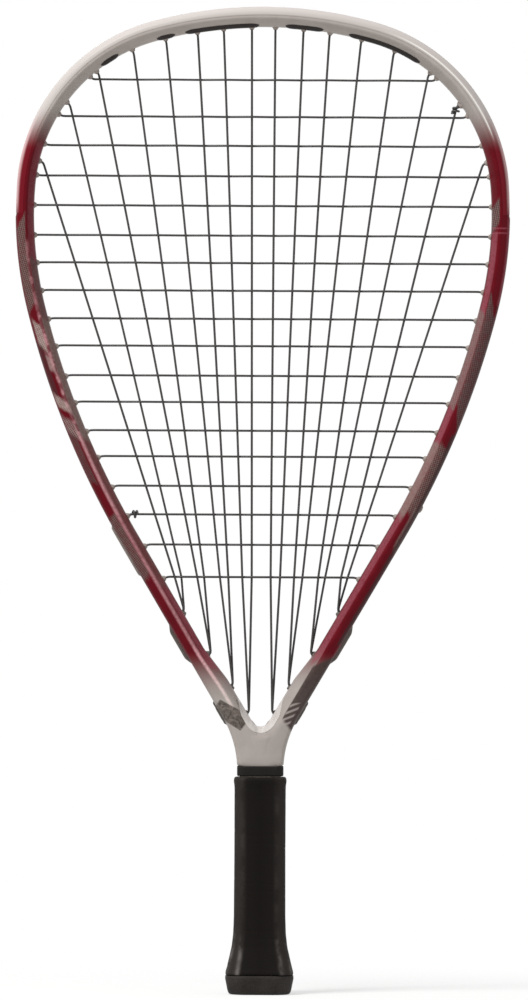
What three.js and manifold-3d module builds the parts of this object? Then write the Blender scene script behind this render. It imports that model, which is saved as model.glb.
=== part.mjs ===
// Racquetball racket: a hollow teardrop frame strung with one unbroken string.
// It stands on its butt end. X runs across the head, Y through it and Z from butt to head.
// The front looks towards -Y, the origin is the middle of the butt end, and sizes are millimetres.

import * as THREE from "three";
import Module from "manifold-3d";

// Gap that neighbouring pieces keep, and what a cutting body stands past the piece it cuts
const GAP = 0.3;
const END_GAP = 0.4;
const CUT_SPARE = 3;

// Heights of the handle
const CAP_FLOOR = 5;
const CAP_LIP_Z = 11;
const CAP_SKIRT_Z = 26;
const FRAME_END_Z = 9;
const PALLET_LOW_Z = CAP_FLOOR + GAP;
const PALLET_TOP_Z = 122.6;
const GRIP_TOP_Z = PALLET_TOP_Z + END_GAP;
const COLLAR_HEIGHT = 5.9;
const COLLAR_LOW_Z = GRIP_TOP_Z + END_GAP;
const COLLAR_TOP_Z = COLLAR_LOW_Z + COLLAR_HEIGHT;
const HANDLE_INSET_Z = COLLAR_TOP_Z + END_GAP;
const SHAFT_ENTRY = 3.1;
const SHAFT_TOP_Z = COLLAR_TOP_Z - SHAFT_ENTRY;

// Outline of the head, one half of it, from the middle of the crown to the shaft.
// The arcs' radii are shares of the head's half width, and the straight leg takes up the rest.
const HEAD_HALF_WIDTH = 139.9;
const CROWN_RADIUS_SHARE = 1.7084;
const SHOULDER_RADIUS_SHARE = 0.7384;
const CHEEK_RADIUS_SHARE = 1.6269;
const FLANK_RADIUS_SHARE = 3.5768;
const CROWN_SWEEP_DEG = 15.5;
const SHOULDER_SWEEP_DEG = 70.5;
const CHEEK_SWEEP_DEG = 18.2;
const FLANK_SWEEP_DEG = 16.2;
const THROAT_RADIUS = 60;
const SHAFT_HALF_WIDTH = 13.05;
const CROWN_STEPS = 3;
const SHOULDER_STEPS = 9;
const CHEEK_STEPS = 3;
const FLANK_STEPS = 4;
const LEG_STEPS = 2;
const THROAT_STEPS = 4;

// Frame tube, in the plane of the head and through it
const CROWN_WIDTH = 11.3;
const SIDE_WIDTH = 10.3;
const THROAT_WIDTH = 13;
const CROWN_DEPTH = 20;
const SIDE_DEPTH = 22.4;
const THROAT_DEPTH = 20.5;
const SHAFT_DEPTH = 19.6;
const HANDLE_DEPTH = 18.6;
const RIDGE_SHARE = 0.56;
const EDGE_RUN = 1.4;
const EDGE_DROP = 1.3;
const FACE_DROP = 3.9;
const INNER_RUN = 2.6;
const INNER_DROP = 2.6;
const INNER_FACE_DROP = 7;
const WALL = 1.3;
const HOLLOW_OUTER_DROP = 3;
const HOLLOW_INNER_DROP = 7.5;
const SHAFT_HOLLOW_START = 3.4;
const LEG_OVERLAP = 0.05;
const HANDLE_INSET = 1.3;
const INSET_STEP = 0.5;

// Throat: a solid web between the legs and a bridge seated over it, with heights above the
// middle of the opening's round bottom
const OPENING_RADIUS = 5.5;
const SIDE_WIDTH_RISE = 33.1;
const THROAT_WIDTH_RISE = 15.1;
const SIDE_DEPTH_RISE = 73.1;
const LEGS_MEET_DROP = 5.7;
const LEGS_JOINED_DROP = 17.9;
const BRIDGE_THICKNESS = 3.2;
const BRIDGE_RISE = 10.6;
const BRIDGE_HALF_DEPTH_IN = 5;
const BRIDGE_HALF_DEPTH_OUT = 7.2;
const BRIDGE_ARC_STEPS = 6;
const WEB_HALF_DEPTH = 9.4;
const WEB_RISE = 7.1;
const WEB_KNEE_DROP = 15.9;
const WEB_BOTTOM_HALF = 8;
const WEB_TOP_HALF = 15;

// String, its loops and its two knots
const STRING_RADIUS = 0.65;
const STRING_SIDES = 5;
const STRING_GAP = 0.56;
const LOOP_SIDE_STEP = STRING_RADIUS + 0.25;
const CORNER = 0.6;
const KNOT_MAIN = 7;
const KNOT_CROSS = 16;
const KNOT_TURNS = 1.5;
const KNOT_STEPS = 8;
const KNOT_START = 1.2;
const KNOT_TAIL = 2.4;
const LEAST_PITCH = 3;
const SHARED_WEAVE_PITCH = 9.2;

// Where the mains start at the crown, as shares of the widest inner half width
const MAINS_PER_SIDE = 8;
const MAIN_TOP_SHARES = [0.0517, 0.1752, 0.2901, 0.429, 0.5741, 0.7299, 0.8588];
const OUTER_MAIN_SHARE = 0.1685;

// Where they end at the throat, in the opening and outside, above the middle of its round bottom
const MAIN_LOW_IN_RISE = [1.8, 17.7, 34.8, 59.8];
const MAIN_LOW_OUT_RISE = [-1.5, 6.1, 33.5, 47.7];
const PAIR_OUTER = 2.6;
const PAIR_INNER = 1;

// Where they bend at the last cross, as shares of that cross's half length
const MAIN_BEND_SHARES = [0.1, 0.2, 0.348, 0.437, 0.604, 0.677, 0.844, 0.915];

// The crosses, as shares of the way down from the first one to the last one
const FIRST_CROSS_DROP = 39.8;
const LAST_CROSS_RISE = 78.1;
const CROSS_SHARES = [0, 0.0753, 0.1345, 0.1964, 0.2563, 0.3162, 0.3714, 0.4271, 0.4837,
  0.538, 0.5975, 0.6504, 0.7074, 0.7592, 0.8183, 0.8754, 0.9356, 1];

// Grommet barrels round the string
const BORE_HALF = STRING_RADIUS + GAP;
const BARREL_WALL = 0.65;
const BARREL_HALF = BORE_HALF + BARREL_WALL;
const HOLE_HALF = BARREL_HALF + GAP;
const BARREL_SIDES = 4;
const NUB = 1.2;
const LOW_NUB = 0.3;
const PAST_NUB = 0.9;
const TAIL_SIDE_STEP = 2.4;
const TAIL_INNER_STEP = 1.2;
const TAIL_INNER_DEPTH = 1.75;

// Strips: the floor that the string runs on, and the ribs beside it
const CHANNEL_HALF = LOOP_SIDE_STEP + STRING_RADIUS + GAP;
const RIB_WIDTH = 1.35;
const STRIP_HALF = CHANNEL_HALF + RIB_WIDTH;
const FLOOR_TOP = 1.95;
const FLOOR_THICKNESS = 0.8;
const FLOOR_BOTTOM = FLOOR_TOP + FLOOR_THICKNESS;
const SIDE_RIB = 1.2;
const PAD_PROUD = 1;
const PAD_RAMP = 4;
const LEFT_PAD_SHARES = [0.888, 1.002];
const RIGHT_PAD_SHARES = [0.845, 0.874];
const STRIP_END_GAP = 1.5;
const SIDE_STRIP_PAST = 11.6;

// Groove round the outside of the frame, which the strips and the string's loops lie in
const GROOVE_DEPTH = FLOOR_BOTTOM + GAP;
const GROOVE_HALF_WIDTH = STRIP_HALF + GAP;
const GROOVE_PAST = 5.8;

// Bumper guard over the crown and shoulders
const BUMPER_END_SHARE = 0.2746;
const BUMPER_THICKNESS = 1.6;
const BUMPER_END_THICKNESS = 0.6;
const BUMPER_TAPER = 26;
const BUMPER_LIP = 0.9;
const BUMPER_FACE_STEP = 0.6;
const SIDE_DEPTH_SHARE = 0.42;

// String guards over the loops at the throat
const GUARD_FLOOR = 0.55;
const GUARD_END_RIB = 0.3;
const GUARD_RAMP = 7;
const UPPER_GUARD_PROUD = 1.9;
const UPPER_GUARD_PAST = [5.9, 4.9];
const LOWER_GUARD_PROUD = 1.2;
const LOWER_GUARD_PAST = [4.2, 5.2];

// Handle: two moulded pallet halves, butt cap, grip and collar.
// Rings are a height and how far the surface stands outside the pallet's room.
const PALLET_WALL_X = 1;
const PALLET_WALL_Y = 2.1;
const PALLET_BEVEL = 4.6;
const PALLET_IN_BEVEL = 2.9;
const PALLET_IN_HALF_X = SHAFT_HALF_WIDTH - HANDLE_INSET + GAP;
const PALLET_IN_HALF_Y = HANDLE_DEPTH / 2 + GAP;
const PALLET_HALF_X = PALLET_IN_HALF_X + PALLET_WALL_X;
const PALLET_HALF_Y = PALLET_IN_HALF_Y + PALLET_WALL_Y;
const CAP_RINGS = [[0, 3.6], [1.4, 4.5], [5.5, 5.3], [CAP_LIP_Z, 6.1]];
const SKIRT_RINGS = [[CAP_LIP_Z, 3.8], [19, 2.3], [CAP_SKIRT_Z, 0.8]];
const CAP_BEVEL_SHARE = 0.4;
const CORD_HOLE_HALF_X = 5;
const CORD_HOLE_HALF_Y = 2.4;
const CORD_HOLE_BEVEL = 1.2;
const GRIP_BEVEL_SHARE = 0.38;
const GRIP_RINGS = [[CAP_LIP_Z + GAP, 6.1], [15, 5.1], [21, 3.7], [27, 2.4], [34, 1.6], [44, 1.3],
  [GRIP_TOP_Z - 6, 1.2], [GRIP_TOP_Z - 3, 1.5], [GRIP_TOP_Z - 1, 1.5], [GRIP_TOP_Z, 0.9]];
const COLLAR_THICKNESS = 1.1;
const COLLAR_BEVEL = 3.3;

const wasm = await Module();
wasm.setup();
const RIGHT_ANGLE = 90;
const HALF = 0.5;
const rad = THREE.MathUtils.degToRad;

// The outline as a chain of arcs and straights that meet tangent to each other

function outlineChain() {
  const lean = rad(CROWN_SWEEP_DEG + SHOULDER_SWEEP_DEG + CHEEK_SWEEP_DEG + FLANK_SWEEP_DEG - RIGHT_ANGLE);
  const chain = [];
  let at = { x: 0, z: 0, heading: 0, s: 0 };
  const add = (curve, length, steps) => {
    chain.push({ ...at, curve, length, steps });
    at = { ...pointOn(chain[chain.length - 1], length), s: at.s + length };
  };
  const arc = (radius, sweep, steps) => add(1 / radius, Math.abs(radius) * sweep, steps);
  arc(HEAD_HALF_WIDTH * CROWN_RADIUS_SHARE, rad(CROWN_SWEEP_DEG), CROWN_STEPS);
  arc(HEAD_HALF_WIDTH * SHOULDER_RADIUS_SHARE, rad(SHOULDER_SWEEP_DEG), SHOULDER_STEPS);
  arc(HEAD_HALF_WIDTH * CHEEK_RADIUS_SHARE, rad(CHEEK_SWEEP_DEG), CHEEK_STEPS);
  arc(HEAD_HALF_WIDTH * FLANK_RADIUS_SHARE, rad(FLANK_SWEEP_DEG), FLANK_STEPS);
  const throatDrift = THROAT_RADIUS * (1 - Math.cos(lean));
  add(0, (at.x - throatDrift - SHAFT_HALF_WIDTH) / Math.sin(lean), LEG_STEPS);
  arc(-THROAT_RADIUS, lean, THROAT_STEPS);
  const rise = SHAFT_TOP_Z - at.z;
  add(0, SHAFT_TOP_Z - FRAME_END_Z, 1);
  return chain.map((piece) => ({ ...piece, z: piece.z + rise }));
}

function pointOn(piece, along) {
  const heading = piece.heading + piece.curve * along;
  if (piece.curve === 0) {
    const x = piece.x + Math.cos(heading) * along;
    return { x, z: piece.z - Math.sin(heading) * along, heading };
  }
  const x = piece.x + (Math.sin(heading) - Math.sin(piece.heading)) / piece.curve;
  const z = piece.z + (Math.cos(heading) - Math.cos(piece.heading)) / piece.curve;
  return { x, z, heading };
}

const CHAIN = outlineChain();
const LAST = CHAIN[CHAIN.length - 1];
const END_S = LAST.s + LAST.length;
const TOP_Z = CHAIN[0].z;

// A point of the outline at the distance s from the crown, negative on the left
function edgeAt(s) {
  const side = s < 0 ? -1 : 1;
  const piece = [...CHAIN].reverse().find((p) => p.s <= Math.abs(s)) ?? CHAIN[0];
  const p = pointOn(piece, Math.abs(s) - piece.s);
  return { x: side * p.x, z: p.z, nx: side * Math.sin(p.heading), nz: Math.cos(p.heading) };
}

// A point that lies u inside the outline and v in front of the middle plane
function edgePoint(s, u, v) {
  const p = edgeAt(s);
  return new THREE.Vector3(p.x - p.nx * u, -v, p.z - p.nz * u);
}

// The middle of the opening's round bottom, which touches both legs
const LEG = CHAIN[CHAIN.length - 3];
const LEG_NORMAL = edgeAt(LEG.s + LEG.length * HALF);
const OPENING_Z = LEG.z + (LEG.x * LEG_NORMAL.nx - THROAT_WIDTH - OPENING_RADIUS) / LEG_NORMAL.nz;
const FIRST_CROSS_Z = TOP_Z - FIRST_CROSS_DROP;
const LAST_CROSS_Z = OPENING_Z + LAST_CROSS_RISE;
const crossRangeZ = (share) => FIRST_CROSS_Z - share * (FIRST_CROSS_Z - LAST_CROSS_Z);
const CROSS_Z = CROSS_SHARES.map(crossRangeZ);
const BUMPER_END_Z = crossRangeZ(BUMPER_END_SHARE);

function solve(low, high, isPast) {
  let a = low;
  let b = high;
  for (let i = 0; i < 60; i += 1) {
    const middle = (a + b) * HALF;
    if (isPast(middle)) b = middle;
    else a = middle;
  }
  return (a + b) * HALF;
}

const sAtZ = (z) => solve(0, END_S, (s) => edgeAt(s).z < z);
const innerAt = (s) => edgePoint(s, widthAt(s), 0);
const sAtInnerZ = (z) => solve(sAtZ(TOP_Z - CROWN_WIDTH), END_S, (s) => innerAt(s).z < z);
const sAtInnerX = (x) => solve(0, sAtZ(BUMPER_END_Z), (s) => innerAt(s).x > x);

function between(knots, z) {
  const last = knots[knots.length - 1];
  if (z >= knots[0][0]) return knots[0][1];
  if (z <= last[0]) return last[1];
  const i = knots.findIndex((k) => k[0] < z);
  const [z0, a] = knots[i - 1];
  const [z1, b] = knots[i];
  return a + ((b - a) * (z - z0)) / (z1 - z0);
}

function widthAt(s) {
  const p = edgeAt(Math.abs(s));
  const own = between([[TOP_Z, CROWN_WIDTH], [BUMPER_END_Z, SIDE_WIDTH],
    [OPENING_Z + SIDE_WIDTH_RISE, SIDE_WIDTH], [OPENING_Z + THROAT_WIDTH_RISE, THROAT_WIDTH]], p.z);
  const toMiddle = (p.x + LEG_OVERLAP) / Math.max(p.nx, HALF);
  const share = between([[OPENING_Z - LEGS_MEET_DROP, 0], [OPENING_Z - LEGS_JOINED_DROP, 1]], p.z);
  return own + (toMiddle - own) * share;
}

const halfDepthAt = (s) => HALF * between([[TOP_Z, CROWN_DEPTH], [crossRangeZ(SIDE_DEPTH_SHARE), SIDE_DEPTH],
  [OPENING_Z + SIDE_DEPTH_RISE, SIDE_DEPTH], [OPENING_Z - LEGS_MEET_DROP, THROAT_DEPTH],
  [HANDLE_INSET_Z, SHAFT_DEPTH], [PALLET_TOP_Z, HANDLE_DEPTH]], edgeAt(Math.abs(s)).z);

const BUMPER_END_S = sAtZ(BUMPER_END_Z);
const BUMPER_TAPER_S = BUMPER_END_S - BUMPER_TAPER;
const HANDLE_INSET_S = sAtZ(HANDLE_INSET_Z);

// Depth of the rebate that the bumper guard, or the handle, takes out of the frame's outer face
function insetAt(s) {
  const a = Math.abs(s);
  if (a > HANDLE_INSET_S) return Math.min((a - HANDLE_INSET_S) / INSET_STEP, 1) * HANDLE_INSET;
  const end = GAP + BUMPER_END_THICKNESS;
  if (a >= BUMPER_END_S) return Math.max(1 - (a - BUMPER_END_S) / INSET_STEP, 0) * end;
  const share = Math.max((a - BUMPER_TAPER_S) / BUMPER_TAPER, 0);
  const full = GAP + BUMPER_THICKNESS;
  return full + (end - full) * share;
}

// Stations that every piece round the frame shares, so that their facets stay parallel
function sharedStations() {
  const all = [BUMPER_TAPER_S, BUMPER_END_S, BUMPER_END_S + INSET_STEP,
    HANDLE_INSET_S, HANDLE_INSET_S + INSET_STEP, END_S];
  for (const piece of CHAIN) {
    for (let i = 0; i < piece.steps; i += 1) all.push(piece.s + (piece.length * i) / piece.steps);
  }
  return all.sort((a, b) => a - b);
}

const STATIONS = sharedStations();

function stationsBetween(from, to, spare = CORNER) {
  const low = Math.min(from, to);
  const high = Math.max(from, to);
  const both = [...STATIONS.map((s) => -s), ...STATIONS];
  const inside = [...new Set(both)].filter((s) => s > low + spare && s < high - spare);
  inside.sort((a, b) => (from < to ? a - b : b - a));
  return [from, ...inside, to];
}

// Solids

function bodyFrom(points, faces) {
  const body = new wasm.Manifold(new wasm.Mesh({
    numProp: 3, vertProperties: new Float32Array(points.flat()), triVerts: new Uint32Array(faces.flat()),
  }));
  return body;
}

// Rings of equal count joined by sides, with both ends closed by the flat form of their section
function loft(rings, firstFlat, lastFlat) {
  const n = rings[0].length;
  const points = rings.flatMap((ring) => ring.map((p) => [p.x, p.y, p.z]));
  const faces = [];
  for (let i = 0; i < rings.length - 1; i += 1) {
    for (let j = 0; j < n; j += 1) {
      const a = i * n + j;
      const b = i * n + ((j + 1) % n);
      faces.push([a, b, b + n], [a, b + n, a + n]);
    }
  }
  const cap = (flat) => THREE.ShapeUtils.triangulateShape(flat.map(([x, y]) => new THREE.Vector2(x, y)), []);
  const turns = THREE.ShapeUtils.area(firstFlat.map(([x, y]) => new THREE.Vector2(x, y))) > 0;
  const facing = ([a, b, c], keep) => (keep ? [a, b, c] : [c, b, a]);
  const top = (rings.length - 1) * n;
  faces.push(...cap(firstFlat).map((f) => facing(f, !turns)));
  faces.push(...cap(lastFlat).map((f) => facing(f, turns).map((k) => k + top)));
  const volume = faces.reduce((sum, [a, b, c]) => {
    const [p, q, r] = [a, b, c].map((k) => new THREE.Vector3(...points[k]));
    return sum + p.dot(q.cross(r));
  }, 0);
  return bodyFrom(points, volume < 0 ? faces.map(([a, b, c]) => [c, b, a]) : faces);
}

// The cap's turn is taken from how its flat section winds, so ends always close the same way
function alongEdge(stations, sectionAt) {
  const flats = stations.map(sectionAt);
  const rings = stations.map((s, i) => flats[i].map(([u, v]) => edgePoint(s, u, v)));
  return loft(rings, flats[0], flats[flats.length - 1]);
}

const mirrored = (half) => [...half, ...half.map(([u, v]) => [u, -v]).reverse()];

function prism(from, to, halfWidth, sides = BARREL_SIDES) {
  const radius = halfWidth / Math.cos(Math.PI / sides);
  const axis = to.clone().sub(from).normalize();
  const across = new THREE.Vector3(0, 1, 0).addScaledVector(axis, -axis.y).normalize();
  const other = axis.clone().cross(across);
  const ring = (centre) => Array.from({ length: sides }, (_, k) => {
    const turn = (Math.PI * 2 * (k + HALF)) / sides;
    return centre.clone().addScaledVector(across, radius * Math.cos(turn))
      .addScaledVector(other, radius * Math.sin(turn));
  });
  const flat = Array.from({ length: sides }, (_, k) => {
    const turn = (Math.PI * 2 * (k + HALF)) / sides;
    return [Math.cos(turn), Math.sin(turn)];
  });
  return loft([ring(from), ring(to)], flat, flat);
}

function octagon(halfX, halfY, bevel, z) {
  const corners = [[halfX, halfY - bevel], [halfX - bevel, halfY]];
  const quarter = [...corners, ...corners.map(([x, y]) => [-x, y]).reverse()];
  const flat = [...quarter, ...quarter.map(([x, y]) => [-x, -y])];
  return { flat, ring: flat.map(([x, y]) => new THREE.Vector3(x, y, z)) };
}

function octagonLoft(rows, bevelOf) {
  const made = rows.map(([z, x, y]) => octagon(x, y, bevelOf(x, y), z));
  return loft(made.map((m) => m.ring), made[0].flat, made[made.length - 1].flat);
}

const plate = (outline, halfDepth) => loft(
  [halfDepth, -halfDepth].map((y) => outline.map(([x, z]) => new THREE.Vector3(x, y, z))), outline, outline,
);

const fuse = (bodies) => wasm.Manifold.union(bodies);

// Holes: each one is an axis from the outer channel to the mouth inside the hoop

function hole(outerS, innerS, outerV, innerV, depth, nub = NUB) {
  const outer = edgePoint(outerS, depth, outerV);
  const mouth = edgePoint(innerS, widthAt(innerS) + nub + PAST_NUB, innerV);
  return { s: outerS, v: outerV, depth, outer, mouth };
}

const STRING_DEPTH = FLOOR_TOP - GAP - STRING_RADIUS;
const GUARD_STRING_DEPTH = GUARD_FLOOR - GAP - STRING_RADIUS;
const along = (h, past) => h.mouth.clone().sub(h.outer).setLength(past);
const barrelOf = (h, start) => prism(h.outer.clone().add(along(h, start)),
  h.mouth.clone().sub(along(h, PAST_NUB)), BARREL_HALF);
const boreOf = (h) => prism(h.outer.clone().sub(along(h, CUT_SPARE)),
  h.mouth.clone().add(along(h, CUT_SPARE)), BORE_HALF);
const holeOf = (h) => prism(h.outer.clone().add(along(h, HALF)), h.mouth, HOLE_HALF);

function stringHoles(side) {
  const straight = (s, v) => hole(side * s, side * s, v, 0, STRING_DEPTH);
  const widest = HEAD_HALF_WIDTH - SIDE_WIDTH;
  const topS = MAIN_TOP_SHARES.map((share) => sAtInnerX(share * widest));
  topS.push(sAtInnerZ(crossRangeZ(OUTER_MAIN_SHARE)));
  const top = topS.map((s) => straight(s, -LOOP_SIDE_STEP));
  const cross = CROSS_Z.map((z) => straight(sAtInnerZ(z), LOOP_SIDE_STEP));
  const low = MAIN_LOW_IN_RISE.flatMap((rise, pair) => [1, -1].map((way) => {
    const outerS = sAtZ(OPENING_Z + MAIN_LOW_OUT_RISE[pair]) + way * PAIR_OUTER;
    const innerV = way * side * PAIR_INNER;
    const innerS = sAtInnerZ(OPENING_Z + rise);
    return hole(side * outerS, side * innerS, 0, innerV, GUARD_STRING_DEPTH, LOW_NUB);
  }));
  return { side, top, cross, low };
}

const GROOVE_END_Z = OPENING_Z + MAIN_LOW_OUT_RISE[0] - GROOVE_PAST;
const RIGHT = stringHoles(1);
const LEFT = stringHoles(-1);
const knotMainS = RIGHT.top[KNOT_MAIN - 1].s;
const knotCrossS = LEFT.cross[KNOT_CROSS - 1].s;
const MAIN_TAIL = hole(knotMainS + TAIL_SIDE_STEP, knotMainS + TAIL_INNER_STEP,
  -LOOP_SIDE_STEP, TAIL_INNER_DEPTH, STRING_DEPTH);
const CROSS_TAIL = hole(knotCrossS - CORNER, knotCrossS, -LOOP_SIDE_STEP, -TAIL_INNER_DEPTH, STRING_DEPTH);

// Frame

function frameSection(s) {
  const width = widthAt(s);
  const deep = halfDepthAt(s);
  const inset = insetAt(s);
  return mirrored([[inset, deep - FACE_DROP], [inset + EDGE_RUN, deep - EDGE_DROP],
    [width * RIDGE_SHARE, deep], [width - INNER_RUN, deep - INNER_DROP], [width, deep - INNER_FACE_DROP]]);
}

function hollowSection(s) {
  const deep = halfDepthAt(s);
  const inGroove = edgeAt(Math.abs(s)).z > GROOVE_END_Z;
  const start = inGroove ? GROOVE_DEPTH + WALL : SHAFT_HOLLOW_START;
  const end = Math.min(widthAt(s), SIDE_WIDTH) - WALL;
  return mirrored([[start, deep - HOLLOW_OUTER_DROP], [end, deep - HOLLOW_INNER_DROP]]);
}

function grooveSection() {
  return mirrored([[-CUT_SPARE, GROOVE_HALF_WIDTH], [GROOVE_DEPTH, GROOVE_HALF_WIDTH]]);
}

// The opening's edge: its round bottom, and sides parallel to the legs up to a height
function openingRow(outward, topZ) {
  const radius = OPENING_RADIUS + outward;
  const start = Math.asin(-LEG_NORMAL.nz);
  const side = (sign) => {
    const x = radius * LEG_NORMAL.nx;
    const z = OPENING_Z + radius * LEG_NORMAL.nz;
    const rise = (topZ - z) / LEG_NORMAL.nx;
    return [sign * (x - rise * LEG_NORMAL.nz), topZ];
  };
  const sweep = Math.PI - 2 * start;
  const arc = Array.from({ length: BRIDGE_ARC_STEPS + 1 }, (_, i) => {
    const turn = start + (sweep * i) / BRIDGE_ARC_STEPS;
    return [radius * Math.cos(turn), OPENING_Z - radius * Math.sin(turn)];
  });
  return [side(1), ...arc, side(-1)];
}

function makeFrame() {
  const half = STATIONS.filter((s) => s > 0);
  const start = -LEG_OVERLAP;
  const outer = alongEdge([start, ...half], frameSection);
  const hollow = alongEdge([start, ...half.slice(0, -1), END_S + CUT_SPARE], hollowSection);
  const both = (body) => fuse([body, body.mirror([1, 0, 0])]);
  const knee = [WEB_BOTTOM_HALF, OPENING_Z - WEB_KNEE_DROP];
  const webHalf = [[WEB_BOTTOM_HALF, SHAFT_TOP_Z], knee, [WEB_TOP_HALF, OPENING_Z + WEB_RISE]];
  const web = plate([...webHalf, ...webHalf.map(([x, z]) => [-x, z]).reverse()], WEB_HALF_DEPTH);
  const grooveEnd = sAtZ(GROOVE_END_Z);
  const groove = alongEdge(stationsBetween(-grooveEnd, grooveEnd), grooveSection);
  const pocket = plate(openingRow(BRIDGE_THICKNESS + GAP, OPENING_Z + BRIDGE_RISE + GAP), SIDE_DEPTH);
  const holes = [RIGHT, LEFT].flatMap((h) => [...h.top, ...h.cross, ...h.low]);
  holes.push(MAIN_TAIL, CROSS_TAIL);
  const solid = fuse([both(outer), web]).subtract(fuse([groove, pocket]));
  return solid.subtract(both(hollow)).subtract(fuse(holes.map(holeOf)));
}

function makeBridge() {
  const inner = openingRow(0, OPENING_Z + BRIDGE_RISE);
  const outer = openingRow(BRIDGE_THICKNESS, OPENING_Z + BRIDGE_RISE);
  const flat = [[0, BRIDGE_HALF_DEPTH_IN], [1, BRIDGE_HALF_DEPTH_OUT], [1, -BRIDGE_HALF_DEPTH_OUT],
    [0, -BRIDGE_HALF_DEPTH_IN]];
  const rings = inner.map(([x, z], i) => flat.map(([share, y]) => new THREE.Vector3(
    x + (outer[i][0] - x) * share, y, z + (outer[i][1] - z) * share,
  )));
  const holes = [RIGHT, LEFT].flatMap((h) => h.low.slice(0, 2));
  return loft(rings, flat, flat).subtract(fuse(holes.map(holeOf)));
}

// Strips

function stripBody(stations, sectionAt, holes, bottom) {
  const strip = alongEdge(stations, sectionAt);
  const start = bottom - HALF - holes[0].depth;
  const solid = fuse([strip, ...holes.map((h) => barrelOf(h, start))]);
  return solid.subtract(fuse(holes.map(boreOf)));
}

function bumperSection(s) {
  const inset = insetAt(s);
  const deep = halfDepthAt(s);
  const share = (inset - GAP) / BUMPER_THICKNESS;
  const slope = new THREE.Vector2(EDGE_RUN, FACE_DROP - EDGE_DROP).normalize();
  const shift = (u, v, out) => [u - slope.y * out, v + slope.x * out];
  const low = [inset, deep - FACE_DROP];
  const high = [inset + EDGE_RUN, deep - EDGE_DROP];
  const lip = GAP + BUMPER_LIP * share;
  const rib = Math.min(inset - GAP - HALF, 0) + HALF - HALF * share;
  return mirrored([[FLOOR_TOP, CHANNEL_HALF], [0, CHANNEL_HALF], [0, low[1] - BUMPER_FACE_STEP],
    shift(...low, lip + HALF * HALF), shift(...high, lip), shift(...high, GAP), shift(...low, GAP),
    [inset - GAP, STRIP_HALF], [FLOOR_BOTTOM, STRIP_HALF]].map(([u, v]) => [Math.max(u, rib), v]));
}

function makeBumper() {
  const end = BUMPER_END_S - GAP;
  const crossCount = CROSS_Z.filter((z) => z > BUMPER_END_Z).length;
  const holes = [RIGHT, LEFT].flatMap((h) => [...h.top, ...h.cross.slice(0, crossCount)]);
  return stripBody(stationsBetween(-end, end), bumperSection, [...holes, MAIN_TAIL], FLOOR_BOTTOM);
}

function ribbed(floor, ribAt) {
  return (s) => mirrored([[floor, CHANNEL_HALF], [ribAt(Math.abs(s)), CHANNEL_HALF],
    [ribAt(Math.abs(s)), STRIP_HALF], [FLOOR_BOTTOM, STRIP_HALF]]);
}

// A rib that stands lower at both ends and rises to its full height over a ramp
function raised(fromS, toS, ramp, base, full) {
  return (s) => {
    const inside = Math.min(s - fromS, toS - s);
    return base + (full - base) * Math.min(Math.max(inside / ramp, 0), 1);
  };
}

function makeSideStrip(holes, padShares) {
  const from = sAtZ(BUMPER_END_Z - STRIP_END_GAP);
  const to = sAtZ(LAST_CROSS_Z - SIDE_STRIP_PAST);
  const pad = padShares.map((share) => sAtZ(crossRangeZ(share)));
  const ramps = [pad[0] + PAD_RAMP, pad[1] - PAD_RAMP];
  const steps = [pad[0], ...(ramps[0] < ramps[1] ? ramps : []), pad[1]];
  const all = [...stationsBetween(from, to), ...steps].sort((a, b) => a - b);
  const used = holes.cross.filter((h) => Math.abs(h.s) > from);
  const tails = holes.side < 0 ? [CROSS_TAIL] : [];
  const section = ribbed(FLOOR_TOP, raised(pad[0], pad[1], PAD_RAMP, SIDE_RIB, -PAD_PROUD));
  return stripBody(all.map((s) => s * holes.side), section, [...used, ...tails], FLOOR_BOTTOM);
}

// It reaches past its highest and its lowest pair of holes
function makeGuard(holes, pairs, past, proud) {
  const heights = pairs.map((pair) => OPENING_Z + MAIN_LOW_OUT_RISE[pair]);
  const from = sAtZ(heights[1] + past[0]);
  const to = sAtZ(heights[0] - past[1]);
  const all = [...stationsBetween(from, to), from + GUARD_RAMP, to - GUARD_RAMP].sort((a, b) => a - b);
  const side = Math.sign(holes[0].s);
  const section = ribbed(GUARD_FLOOR, raised(from, to, GUARD_RAMP, GUARD_END_RIB, -proud));
  return stripBody(all.map((s) => s * side), section, holes, FLOOR_BOTTOM);
}

// String: one path, from the knot on a main to the knot on a cross

function run(from, to, v, depth) {
  return stationsBetween(from, to, CORNER * 3).map((s) => edgePoint(s, depth, v));
}

// From the mouth out to the channel, turned towards one way along the outline
const leave = (h, way) => [h.mouth, h.outer.clone().add(along(h, CORNER)),
  edgePoint(h.s + way * CORNER, h.depth, h.v)];
const enter = (h, way) => leave(h, -way).reverse();

function loopBetween(a, b) {
  const way = Math.sign(b.s - a.s);
  const middle = run(a.s + way * CORNER, b.s - way * CORNER, a.v, a.depth).slice(1, -1);
  return [...leave(a, way), ...middle, ...enter(b, way)];
}

// Weave: a cross bends round straight mains, and lower down, where mains are close, both bend
const crossLine = (j) => new THREE.Line3(LEFT.cross[j].mouth, RIGHT.cross[j].mouth);
const mainIndex = (side, i) => (side > 0 ? MAINS_PER_SIDE + i : MAINS_PER_SIDE - 1 - i);
const CLEAR = 2 * STRING_RADIUS + STRING_GAP;

// A main runs straight to its bend at the last cross, and straight on to its low mouth
function mainX(h, i, z) {
  const last = h.cross[h.cross.length - 1].mouth;
  const bend = { x: MAIN_BEND_SHARES[i] * last.x, z: last.z };
  const [from, to] = z > bend.z ? [h.top[i].mouth, bend] : [bend, h.low[i].mouth];
  return from.x + ((to.x - from.x) * (from.z - z)) / (from.z - to.z);
}

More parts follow.
